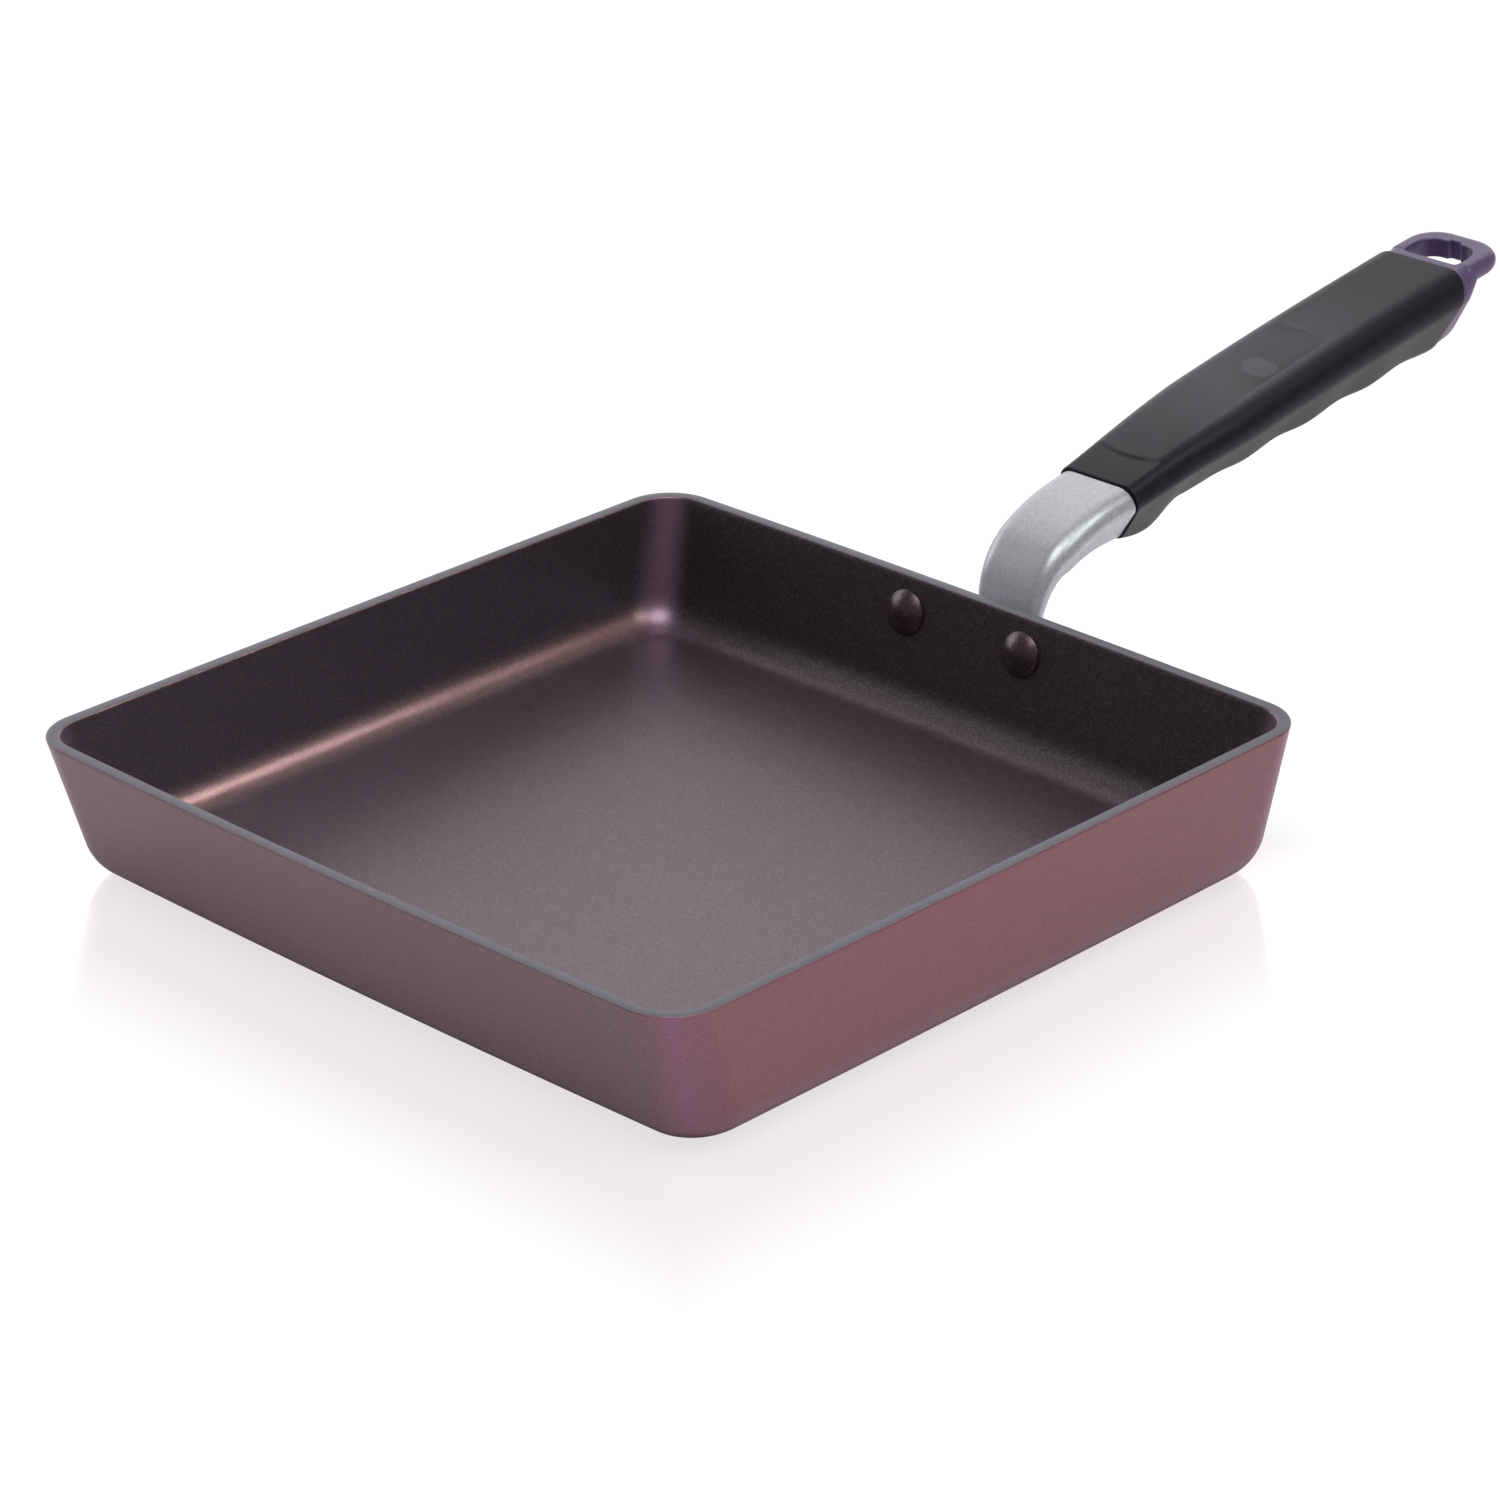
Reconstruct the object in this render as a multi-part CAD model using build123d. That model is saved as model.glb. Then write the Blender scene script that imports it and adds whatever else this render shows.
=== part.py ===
from build123d import *
import math
import os

# Square tamagoyaki pan: a die-cast body, a cast neck riveted to one wall, and a two-part moulded grip.
# The origin is under the middle of the rim, on the flat underside. +Z is up and +X runs along the handle.

# Pan body
PAN_LENGTH = 200.0           # rim, outside, along the handle
PAN_WIDTH = 196.0            # rim, outside, across the handle
PAN_HEIGHT = 34.5
CORNER_RADIUS = 12.0         # upright corners, outside
BASE_EDGE_RADIUS = 10.5      # rounding from base to wall, outside
FLOOR_EDGE_RADIUS = 8.5      # rounding from cooking floor to wall, inside
WALL = 3.1
FLOOR = 4.0
FRONT_WALL_LEAN = 15.5       # degrees from upright, the wall away from the handle
HANDLE_WALL_LEAN = 12.0      # degrees from upright, the wall with the rivets
SIDE_WALL_LEAN = 2.5         # degrees from upright, the two side walls
OVERRUN = 2.0                # how far a cutting shape runs past the face that it cuts

# Rivets
RIVET_SPACING = 35.0         # centre to centre
RIVET_HEIGHT = 25.6          # on the outside of the handle wall, above the base
RIVET_SHANK = 5.0
RIVET_HOLE = 5.2
RIVET_HEAD = 10.6            # domed head inside the pan
RIVET_HEAD_RISE = 2.7
RIVET_HEAD_BANDS = 2         # narrow cones that make up the dome
RIVET_TAIL = 8.6             # formed head outside, on the flange
RIVET_TAIL_RISE = 1.9
RIVET_TAIL_BANDS = 1
RIVET_HEAD_LIP = 0.5         # straight edge under each dome
SEAT_GAP = 0.1               # play between flat faces that are clamped together

# Neck bracket. Its stations hang from the line along the middle of its upper face.
FLANGE_LENGTH = 52.0
FLANGE_HEIGHT = 14.0
FLANGE_THICKNESS = 4.6
FLANGE_EDGE_BREAK = 1.1
NECK_STANDOFF = 9.4          # rim to the near face of the upright part of the neck
NECK_ROOT_TOP = 24.2         # height of the upper face where the neck leaves the flange
NECK_RISER = 0.4             # straight run between the two bends
NECK_TIGHT_RADIUS = 19.0     # upper face, from upright to the change of radius
NECK_EASY_RADIUS = 50.0      # upper face, from there to the slope of the grip
NECK_CHANGE = 30.0           # heading in degrees where the radius changes
NECK_ROOT_WIDTH = 21.4       # flat of the upper face, at the flange
NECK_ROOT_THICKNESS = 5.4
NECK_WAIST_WIDTH = 16.0      # flat of the upper face, in the upright part
NECK_WAIST_THICKNESS = 4.6
NECK_WAIST_BULGE = 1.3       # how far the sides stand out past the flat
NECK_WAIST_RADII = (2.0, 1.3, 1.6)       # upper, widest and lowest corners
NECK_TOP_WIDTH = 20.5        # flat of the upper face, at the grip
NECK_TOP_THICKNESS = 14.4
NECK_TOP_BULGE = 1.6
NECK_TOP_RADII = (2.4, 2.6, 3.0)
NECK_LOW_WIDTH_SHARE = 0.50  # flat underside of the neck at the grip, of its flat top
BULGE_DROP_SHARE = 0.33      # widest line of a neck or grip section, of its depth, below the top
NECK_BEND_SHARE = 0.92       # of the growth from waist to grip, how much is done by the end of the bends
NECK_GROWTH = 0.8            # power of the growth along the bends, below 1 for most of it early
NECK_SINK = 1.45             # top of the neck below the line of the grip, at the grip's front face
MOUTH_GAP = 0.3              # fine joint between the end of the neck and the sleeve
TANG_LENGTH = 58.0
TANG_WIDTH = 11.0
TANG_THICKNESS = 4.0
TANG_DROP = 5.2              # top of the tang below the line of the grip
TANG_PLAY = 0.1

# Grip. Depths and drops are below the line of the grip.
GRIP_LENGTH = 124.0          # front face of the grip to the end of the black sleeve, along the top
GRIP_SLOPE = 9.5             # degrees
GRIP_START = 141.0           # X of the front face, on the line of the grip
GRIP_START_HEIGHT = 52.2     # height of the line of the grip at its front face
GRIP_CROWN = 1.1             # how far the top bows up between its ends
FRONT_DIP = 0.8              # how far the top dips to meet the neck
DIP_LENGTH = 24.0
GRIP_FRONT_WIDTH = 21.2      # flat top, front
GRIP_REAR_WIDTH = 24.0       # flat top, rear
GRIP_FRONT_BULGE = 1.7       # how far the sides stand out past the flat top, front
GRIP_REAR_BULGE = 2.4
GRIP_LOW_WIDTH_SHARE = 0.54  # flat underside of the grip, of its flat top
GRIP_FRONT_RADII = (2.8, 2.9, 3.4)       # shoulder, widest and lowest corners
GRIP_REAR_RADII = (6.0, 4.0, 5.5)
GRIP_FRONT_DEPTH = 16.2
GUARD_DEPTH = 18.2           # deepest point of the front guard
GUARD_PLACE = 8.5            # front face to the deepest point of the guard
GRIP_THROAT_DEPTH = 14.8     # just behind the guard
THROAT_PLACE = 19.0          # front face to the throat behind the guard
GRIP_REAR_DEPTH = 20.7
FINGER_PITCH = 24.4
FINGER_WAVE = 0.9            # half of the height of the finger waves
FIRST_CREST = 43.5           # front face to the first crest behind the throat
STATION_GAP = 1.0            # least run between the last two sections of the grip
WAVE_STATIONS = 4            # sections in one finger wave
SLEEVE_FRONT = 4.0           # wall at the front of the sleeve, round the tang
SLEEVE_PLAY = 0.1
SLEEVE_END_SLANT = 18.0      # degrees that the rear cut of the sleeve leans from square
ARC_PLACE = 21.5             # front face to the centre of the thumb arc
THUMB_ARC_RADIUS = 13.5
COLLAR_DROP = 1.1            # flat of the collar below the line of the grip, at the front face
COLLAR_PITCH = 4.2           # degrees that it climbs away from the line of the grip

# Core inside the sleeve: widths and drops at its front and at the end of the sleeve
CORE_TOP_WIDTHS = (16.0, 18.8)
CORE_WIDE_WIDTHS = (19.2, 22.8)
CORE_LOW_WIDTHS = (9.0, 10.8)
CORE_TOP_DROPS = (3.5, 3.2)
CORE_WIDE_DROPS = (6.2, 7.6)
CORE_LOW_DROPS = (11.8, 15.6)

# Hanging loop
LOOP_LENGTH = 19.2           # end of the sleeve to the tip
LOOP_WIDTH = 25.2
LOOP_THICKNESS = 5.2
LOOP_CORNER = 8.0
LOOP_EDGE_BREAK = 1.2
LOOP_DROOP = 3.0             # degrees
LOOP_ROOT = 6.0              # how far the loop runs into the core
HOLE_START = 3.4             # end of the sleeve to the straight side of the hole
HOLE_LENGTH = 9.8
HOLE_WIDTH = 16.4
HOLE_NEAR_RADIUS = 1.4
HOLE_FAR_RADIUS = 5.0
NOTCH_WIDTH = 3.6
NOTCH_DEPTH = 1.1
HEEL_PLACES = (4.0, 7.0, 9.5)            # behind the end of the sleeve
HEEL_DEPTHS = (15.6, 9.8, 5.6)
HEEL_WIDTH_SHARES = (0.98, 0.95, 0.92)   # of the grip's rear width
HEEL_ROUNDING = 0.8          # of the grip's corner radii, before they shrink with the depth

# Screw under the grip
SCREW_PLACE = 43.5           # from the front face
SCREW_SHANK = 4.0
SCREW_HEAD = 7.0
SCREW_HEAD_HEIGHT = 2.4
SCREW_HEAD_BREAK = 0.7
SCREW_WELL = 9.2             # well in the sleeve and core for the head
SCREW_PLAY = 0.15
SCREW_BITE = 3.2             # how far the shank goes into the tang
DRIVE_WIDTH = 4.0
DRIVE_SLOT = 0.9
DRIVE_DEPTH = 1.2
WASHER_OUTER = 8.2
WASHER_THICKNESS = 0.8
SEAT_WALL = 1.8              # core left between the tang and the well


def tan_deg(angle):
    return math.tan(math.radians(angle))


def sin_deg(angle):
    return math.sin(math.radians(angle))


def cos_deg(angle):
    return math.cos(math.radians(angle))


def between(start, end, share):
    return start + (end - start) * share


def spread(start, end, steps):
    """Evenly spaced values after start, up to end."""
    return [between(start, end, step / steps) for step in range(1, steps + 1)]


def leaning_block(bottom, top, inset):
    """A block between two heights with the pan's four leaning walls, drawn in by inset on every wall."""
    front, back, half = inset - PAN_LENGTH / 2, PAN_LENGTH / 2 - inset, PAN_WIDTH / 2 - inset
    along, across = [], []
    for height in (bottom, top):
        below = PAN_HEIGHT - height
        near, far = front + below * tan_deg(FRONT_WALL_LEAN), back - below * tan_deg(HANDLE_WALL_LEAN)
        side = half - below * tan_deg(SIDE_WALL_LEAN)
        along.append([(near, height), (far, height)])
        across.append([(-side, height), (side, height)])
    profile = make_face(Polyline(*along[0], *reversed(along[1]), close=True).edges())
    section = make_face(Polyline(*across[0], *reversed(across[1]), close=True).edges())
    lengthwise = extrude(Plane.XZ * profile, PAN_WIDTH, both=True)
    return lengthwise & extrude(Plane.YZ * section, PAN_LENGTH, both=True)


def rounded_block(bottom, top, inset, edge_radius):
    """That block with its leaning corners and then its bottom edge rounded."""
    block = leaning_block(bottom, top, inset)
    upright = [edge for edge in block.edges() if edge.bounding_box().size.Z > (top - bottom) / 2]
    block = fillet(upright, CORNER_RADIUS - inset)
    return fillet(block.edges().group_by(Axis.Z)[0], edge_radius)


def wall_plane(depth=0.0):
    """A plane on the outside of the handle wall at rivet height, or depth further in, facing outwards."""
    out = Vector(cos_deg(HANDLE_WALL_LEAN), 0, -sin_deg(HANDLE_WALL_LEAN))
    outside = PAN_LENGTH / 2 - (PAN_HEIGHT - RIVET_HEIGHT) * tan_deg(HANDLE_WALL_LEAN)
    origin = Vector(outside, 0, RIVET_HEIGHT) - out * depth
    return Plane(origin=origin, x_dir=(0, 1, 0), z_dir=out)


def wall_depth():
    """Thickness of the handle wall, square to its face."""
    return WALL * cos_deg(HANDLE_WALL_LEAN)


def rivet_places():
    return [-RIVET_SPACING / 2, RIVET_SPACING / 2]


def build_pan_body():
    """The die-cast shell: outer block less inner block, with the two rivet holes through the handle wall."""
    body = rounded_block(0, PAN_HEIGHT, 0, BASE_EDGE_RADIUS)
    body -= rounded_block(FLOOR, PAN_HEIGHT + OVERRUN, WALL, FLOOR_EDGE_RADIUS)
    for place in rivet_places():
        hole = Cylinder(RIVET_HOLE / 2, WALL + OVERRUN * 4)
        body -= wall_plane(WALL / 2) * Pos(place, 0, 0) * hole
    return body


def dome(diameter, rise, lip, bands):
    """A domed head standing on z = 0: a short straight edge, then cone bands up to a small flat top."""
    half = diameter / 2
    cap = rise - lip
    ball = (half ** 2 + cap ** 2) / (2 * cap)
    reach = math.asin(half / ball)
    points = [(0, 0), (half, 0), (half, lip)]
    for turn in spread(reach, reach / (bands * 2 + 1), bands):
        points.append((ball * math.sin(turn), rise - ball + ball * math.cos(turn)))
    points.append((0, points[-1][1]))
    return revolve(Plane.XZ * make_face(Polyline(*points, close=True).edges()), Axis.Z)


def build_rivet(place):
    """One solid rivet: domed head inside the pan, shank through wall and flange, formed head outside."""
    inner_seat = -wall_depth() - SEAT_GAP
    outer_seat = SEAT_GAP + FLANGE_THICKNESS + SEAT_GAP
    length = outer_seat - inner_seat
    shank = Pos(0, 0, inner_seat + length / 2) * Cylinder(RIVET_SHANK / 2, length)
    head = dome(RIVET_HEAD, RIVET_HEAD_RISE, RIVET_HEAD_LIP, RIVET_HEAD_BANDS)
    tail = dome(RIVET_TAIL, RIVET_TAIL_RISE, RIVET_HEAD_LIP, RIVET_TAIL_BANDS)
    rivet = shank + Pos(0, 0, inner_seat) * Rot(180, 0, 0) * head + Pos(0, 0, outer_seat) * tail
    return wall_plane() * Pos(place, 0, 0) * rivet


def boat_section(plane, top_width, bulge, low_width, depth, radii):
    """A six-sided section with round corners, hung from the plane: flat top, sides that stand out a third of
    the way down, and a narrower underside. radii are for the top, widest and lowest corners."""
    half_top, half_low = top_width / 2, low_width / 2
    half_wide = half_top + bulge
    widest = -depth * BULGE_DROP_SHARE
    points = [
        (-half_top, 0), (half_top, 0), (half_wide, widest),
        (half_low, -depth), (-half_low, -depth), (-half_wide, widest),
    ]
    top, wide, low = radii
    line = FilletPolyline(*points, radius=[top, top, wide, low, low, wide], close=True)
    return plane * make_face(line.edges())


def square_plane(x, z, heading):
    """A plane across a run with that heading in degrees. Its y is up, square to the run."""
    return Plane(origin=(x, 0, z), x_dir=(0, 1, 0), z_dir=(cos_deg(heading), 0, sin_deg(heading)))


def handle_plane():
    """The grip's own frame: x along the line of the grip from its front face, z square to it."""
    along = (cos_deg(GRIP_SLOPE), 0, sin_deg(GRIP_SLOPE))
    square = (-sin_deg(GRIP_SLOPE), 0, cos_deg(GRIP_SLOPE))
    return Plane(origin=(GRIP_START, 0, GRIP_START_HEIGHT), x_dir=along, z_dir=square)


def neck_points():
    """The neck's upper line, worked back from the grip.

    Gives the X of the upright run, the heights of its foot and top, the start of the run into the grip as
    (x, z), and its end as (x, z)."""
    frame = handle_plane()
    end = frame.origin - frame.x_dir * MOUTH_GAP - frame.z_dir * NECK_SINK
    riser = PAN_LENGTH / 2 + NECK_STANDOFF
    easy = NECK_EASY_RADIUS * (sin_deg(NECK_CHANGE) - sin_deg(GRIP_SLOPE))
    run_x = riser + NECK_TIGHT_RADIUS * (1 - sin_deg(NECK_CHANGE)) + easy
    run_z = end.Z - (end.X - run_x) * tan_deg(GRIP_SLOPE)
    top = run_z - NECK_EASY_RADIUS * (cos_deg(GRIP_SLOPE) - cos_deg(NECK_CHANGE))
    top -= NECK_TIGHT_RADIUS * cos_deg(NECK_CHANGE)
    return riser, top - NECK_RISER, top, (run_x, run_z), (end.X, end.Z)


def neck_section(x, z, heading, share, ends):
    """The neck's section at a station, a share of the way between two ends.

    Each end is its flat width, bulge, low width, thickness and corner radii."""
    start, finish = ends
    sizes = [between(a, b, share) for a, b in zip(start[:4], finish[:4])]
    radii = [between(a, b, share) for a, b in zip(start[4], finish[4])]
    return boat_section(square_plane(x, z, heading), *sizes, radii)


def waist():
    return NECK_WAIST_WIDTH, NECK_WAIST_BULGE, NECK_WAIST_WIDTH, NECK_WAIST_THICKNESS, NECK_WAIST_RADII


def low_neck():
    """The neck from inside the flange, round the low bend, up to the foot of the upright run."""
    root = (NECK_ROOT_WIDTH, NECK_WAIST_BULGE, NECK_ROOT_WIDTH, NECK_ROOT_THICKNESS, NECK_WAIST_RADII)
    riser, foot, _, _, _ = neck_points()
    radius = foot - NECK_ROOT_TOP
    wall_x = PAN_LENGTH / 2 - (PAN_HEIGHT - NECK_ROOT_TOP) * tan_deg(HANDLE_WALL_LEAN)
    sections = [neck_section(wall_x + FLANGE_THICKNESS / 2, NECK_ROOT_TOP, 0, 0, (root, waist()))]
    for heading in (0, 18, 36, 54, 72, 90):
        x = riser - radius + radius * sin_deg(heading)
        z = foot - radius * cos_deg(heading)
        sections.append(neck_section(x, z, heading, heading / 90, (root, waist())))
    return loft(sections, ruled=True)


def high_neck():
    """The neck from the waist over the long bend: it deepens to the section of the grip's mouth."""
    low_width = NECK_TOP_WIDTH * NECK_LOW_WIDTH_SHARE
    mouth = (NECK_TOP_WIDTH, NECK_TOP_BULGE, low_width, NECK_TOP_THICKNESS, NECK_TOP_RADII)
    riser, foot, top, run, end = neck_points()
    sections = [neck_section(riser, foot, 90, 0, (waist(), mouth))]
    for heading in [90] + spread(90, NECK_CHANGE, 6) + spread(NECK_CHANGE, GRIP_SLOPE, 2):
        grown = NECK_BEND_SHARE * ((90 - heading) / (90 - GRIP_SLOPE)) ** NECK_GROWTH
        tight = max(heading, NECK_CHANGE)
        x = riser + NECK_TIGHT_RADIUS * (1 - sin_deg(tight))
        z = top + NECK_TIGHT_RADIUS * cos_deg(tight)
        if heading < NECK_CHANGE:
            x += NECK_EASY_RADIUS * (sin_deg(NECK_CHANGE) - sin_deg(heading))
            z += NECK_EASY_RADIUS * (cos_deg(heading) - cos_deg(NECK_CHANGE))
        sections.append(neck_section(x, z, heading, grown, (waist(), mouth)))
    sections.append(neck_section(*end, GRIP_SLOPE, 1, (waist(), mouth)))
    return loft(sections, ruled=True)


def tang(play=0.0):
    """The tang in the grip's frame, or with play the socket that it fits."""
    box = Box(
        TANG_LENGTH + OVERRUN + play, TANG_WIDTH + play * 2, TANG_THICKNESS + play * 2,
        align=(Align.MIN, Align.CENTER, Align.MAX),
    )
    return Pos(-OVERRUN, 0, play - TANG_DROP) * box


def tang_underside():
    """Height of the tang's lower face in the grip's frame."""
    return -TANG_DROP - TANG_THICKNESS


def build_neck_bracket():
    """One casting: riveted flange, gooseneck and the tang in the grip, tapped from below for the screw."""
    flange = extrude(SlotOverall(FLANGE_LENGTH, FLANGE_HEIGHT), FLANGE_THICKNESS)
    flange = chamfer(flange.faces().sort_by(Axis.Z)[-1].edges(), FLANGE_EDGE_BREAK)
    bracket = wall_plane(-SEAT_GAP) * flange
    bracket += low_neck()
    bracket += high_neck()
    bracket += handle_plane() * tang()
    for place in rivet_places():
        hole = Cylinder(RIVET_HOLE / 2, FLANGE_THICKNESS * 3)
        bracket -= wall_plane() * Pos(place, 0, 0) * hole
    bore = Pos(SCREW_PLACE, 0, tang_underside()) * Cylinder(SCREW_SHANK / 2 + SCREW_PLAY, SCREW_BITE * 2)
    return bracket - handle_plane() * bore


def grip_top(place):
    """Height of the top of the grip: a gentle crown, and a dip at the front to meet the neck."""
    crown = GRIP_CROWN * sin_deg(180 * min(1, place / GRIP_LENGTH))
    dip = max(0, 1 - place / DIP_LENGTH)
    return crown - FRONT_DIP * dip ** 2


def grip_depth(place):
    """Depth of the underside along the grip: front guard, throat, then finger waves on a steady taper."""
    if place <= GUARD_PLACE:
        return between(GRIP_FRONT_DEPTH, GUARD_DEPTH, sin_deg(90 * place / GUARD_PLACE))
    if place <= THROAT_PLACE:
        share = (place - GUARD_PLACE) / (THROAT_PLACE - GUARD_PLACE)
        return between(GUARD_DEPTH, GRIP_THROAT_DEPTH, (1 - cos_deg(180 * share)) / 2)
    share = (place - THROAT_PLACE) / (GRIP_LENGTH - THROAT_PLACE)
    wave = FINGER_WAVE * cos_deg(360 * (place - FIRST_CREST) / FINGER_PITCH)
    fade = min(1, (place - THROAT_PLACE) / (FIRST_CREST - THROAT_PLACE))
    return between(GRIP_THROAT_DEPTH, GRIP_REAR_DEPTH, share) + wave * fade


def grip_section(place):
    """The grip's section at a place along it."""
    share = min(1, max(0, place / GRIP_LENGTH))
    width = between(GRIP_FRONT_WIDTH, GRIP_REAR_WIDTH, share)
    bulge = between(GRIP_FRONT_BULGE, GRIP_REAR_BULGE, share)
    radii = [between(a, b, share) for a, b in zip(GRIP_FRONT_RADII, GRIP_REAR_RADII)]
    top = grip_top(place)
    plane = square_plane(place, top, 0)
    return boat_section(plane, width, bulge, width * GRIP_LOW_WIDTH_SHARE, grip_depth(place) + top, radii)


def grip_places(end):
    """Places along the grip that hold its form: the guard, the throat, and each finger wave."""
    places = [0, GUARD_PLACE / 2, GUARD_PLACE, between(GUARD_PLACE, THROAT_PLACE, 0.5), THROAT_PLACE]
    place = FIRST_CREST - FINGER_PITCH / 2
    while place < end - STATION_GAP:
        places.append(place)
        place += FINGER_PITCH / WAVE_STATIONS
    return places + [end]


def sleeve_end(play=0.0):
    """Everything behind the slanted rear cut of the sleeve, in the grip's frame."""
    sides = (Align.MIN, Align.CENTER, Align.CENTER)
    block = Box(LOOP_LENGTH * 3, LOOP_WIDTH * 3, GRIP_REAR_DEPTH * 5, align=sides)
    return Pos(GRIP_LENGTH + play, 0, 0) * Rot(0, SLEEVE_END_SLANT, 0) * block


def screw_well():
    """The stepped bore for the screw, from below, in the grip's frame."""
    seat = tang_underside() - SEAT_WALL
    shaft = Pos(SCREW_PLACE, 0, seat) * Cylinder(SCREW_SHANK / 2 + SCREW_PLAY, SEAT_WALL * 3)
    well = Cylinder(SCREW_WELL / 2, GRIP_REAR_DEPTH, align=(Align.CENTER, Align.CENTER, Align.MAX))
    return shaft + Pos(SCREW_PLACE, 0, seat) * well


def core_section(place, play):
    """The plain six-sided section of the core in the sleeve, or with play that of its hollow."""
    share = place / GRIP_LENGTH
    half_top, half_wide, half_low = [
        between(*widths, share) / 2 + play for widths in (CORE_TOP_WIDTHS, CORE_WIDE_WIDTHS, CORE_LOW_WIDTHS)
    ]
    top, widest, low = [
        -between(*drops, share) for drops in (CORE_TOP_DROPS, CORE_WIDE_DROPS, CORE_LOW_DROPS)
    ]
    points = [
        (-half_top, top + play), (half_top, top + play), (half_wide, widest),
        (half_low, low - play), (-half_low, low - play), (-half_wide, widest),
    ]
    return square_plane(place, 0, 0) * make_face(Polyline(*points, close=True).edges())


def collar_cut():
    """What is taken off the top of the sleeve in front of the thumb arc, in the grip's frame."""
    high = GRIP_CROWN * 4
    block = Box(ARC_PLACE + OVERRUN, GRIP_REAR_WIDTH * 2, high, align=(Align.MIN, Align.CENTER, Align.MIN))
    pad = Pos(ARC_PLACE, 0, 0) * Cylinder(THUMB_ARC_RADIUS, high * 3)
    return Pos(0, 0, -COLLAR_DROP) * Rot(0, -COLLAR_PITCH, 0) * (Pos(-OVERRUN, 0, 0) * block - pad)


def build_grip_sleeve():
    """The black outer grip: a shell round the core, with a socket for the tang, a collar and a thumb arc."""
    sleeve = loft([grip_section(place) for place in grip_places(GRIP_LENGTH + OVERRUN)], ruled=True)
    sleeve -= sleeve_end()
    far = GRIP_LENGTH + OVERRUN * 2
    sleeve -= loft([core_section(SLEEVE_FRONT, SLEEVE_PLAY), core_section(far, SLEEVE_PLAY)], ruled=True)
    return handle_plane() * (sleeve - tang(MOUTH_GAP) - collar_cut() - screw_well())


def loop_slab():
    """The hanging loop as a flat slab with broken edges, before its hole is cut."""
    sketch = Rectangle(LOOP_ROOT + LOOP_LENGTH, LOOP_WIDTH, align=(Align.MIN, Align.CENTER))
    sketch = fillet(sketch.vertices().group_by(Axis.X)[-1], LOOP_CORNER)
    slab = extrude(sketch, -LOOP_THICKNESS)
    slab = chamfer(slab.edges().group_by(Axis.Z)[-1], LOOP_EDGE_BREAK)
    return chamfer(slab.edges().group_by(Axis.Z)[0], LOOP_EDGE_BREAK)


def loop_hole():
    """The D-shaped hole with its hook notch, from the loop's own top face."""
    start = LOOP_ROOT + HOLE_START
    sketch = Pos(start, 0) * Rectangle(HOLE_LENGTH, HOLE_WIDTH, align=(Align.MIN, Align.CENTER))
    sketch = fillet(sketch.vertices().group_by(Axis.X)[-1], HOLE_FAR_RADIUS)
    sketch = fillet(sketch.vertices().group_by(Axis.X)[0], HOLE_NEAR_RADIUS)
    notch = Pos(start + HOLE_LENGTH, 0) * Rectangle(NOTCH_DEPTH * 2, NOTCH_WIDTH)
    return extrude(sketch + notch, GRIP_REAR_DEPTH * 2, both=True)


def heel():
    """The heel behind the sleeve: it runs up from the grip's full depth into the loop."""
    sections = [grip_section(GRIP_LENGTH - FINGER_PITCH / 2), grip_section(GRIP_LENGTH)]
    for place, depth, width in zip(HEEL_PLACES, HEEL_DEPTHS, HEEL_WIDTH_SHARES):
        plane = square_plane(GRIP_LENGTH + place, -place * tan_deg(LOOP_DROOP), 0)
        share = depth / GRIP_REAR_DEPTH
        radii = [radius * share * HEEL_ROUNDING for radius in GRIP_REAR_RADII]
        top = GRIP_REAR_WIDTH * width
        low = top * GRIP_LOW_WIDTH_SHARE
        sections.append(boat_section(plane, top, GRIP_REAR_BULGE * share, low, depth, radii))
    return loft(sections, ruled=True)


def build_handle_core():
    """The inner moulding: it holds the tang, fills the sleeve, and ends in the heel and the hanging loop."""
    core = loft([core_section(SLEEVE_FRONT + SEAT_GAP, 0), core_section(GRIP_LENGTH, 0)], ruled=True)
    core += heel() & sleeve_end(SLEEVE_PLAY)
    loop_place = Pos(GRIP_LENGTH, 0, 0) * Rot(0, LOOP_DROOP, 0) * Pos(-LOOP_ROOT, 0, 0)
    core += (loop_place * loop_slab()) & sleeve_end(SLEEVE_PLAY)
    core -= loop_place * loop_hole()
    core -= tang(TANG_PLAY)
    core -= screw_well()
    return handle_plane() * core


def build_screw():
    """Cross-slot screw that pulls the core up to the tang, in the grip's frame from below."""
    seat = tang_underside() - SEAT_WALL - WASHER_THICKNESS - SEAT_GAP * 2
    shank_length = tang_underside() + SCREW_BITE - SCREW_PLAY - seat
    shank = Cylinder(SCREW_SHANK / 2, shank_length, align=(Align.CENTER, Align.CENTER, Align.MIN))
    head = Cylinder(SCREW_HEAD / 2, SCREW_HEAD_HEIGHT, align=(Align.CENTER, Align.CENTER, Align.MAX))
    head = chamfer(head.edges().group_by(Axis.Z)[0], SCREW_HEAD_BREAK)
    slot = Box(DRIVE_WIDTH, DRIVE_SLOT, DRIVE_DEPTH * 2)
    cross = Pos(0, 0, -SCREW_HEAD_HEIGHT) * (slot + Rot(0, 0, 90) * slot)
    return handle_plane() * Pos(SCREW_PLACE, 0, seat) * (shank + head - cross)


def build_washer():
    """Flat ring between the screw's head and the core."""
    seat = tang_underside() - SEAT_WALL - SEAT_GAP
    ring = Cylinder(WASHER_OUTER / 2, WASHER_THICKNESS, align=(Align.CENTER, Align.CENTER, Align.MAX))
    ring -= Cylinder(SCREW_SHANK / 2 + SCREW_PLAY, WASHER_THICKNESS * 3)
    return handle_plane() * Pos(SCREW_PLACE, 0, seat) * ring


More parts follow.
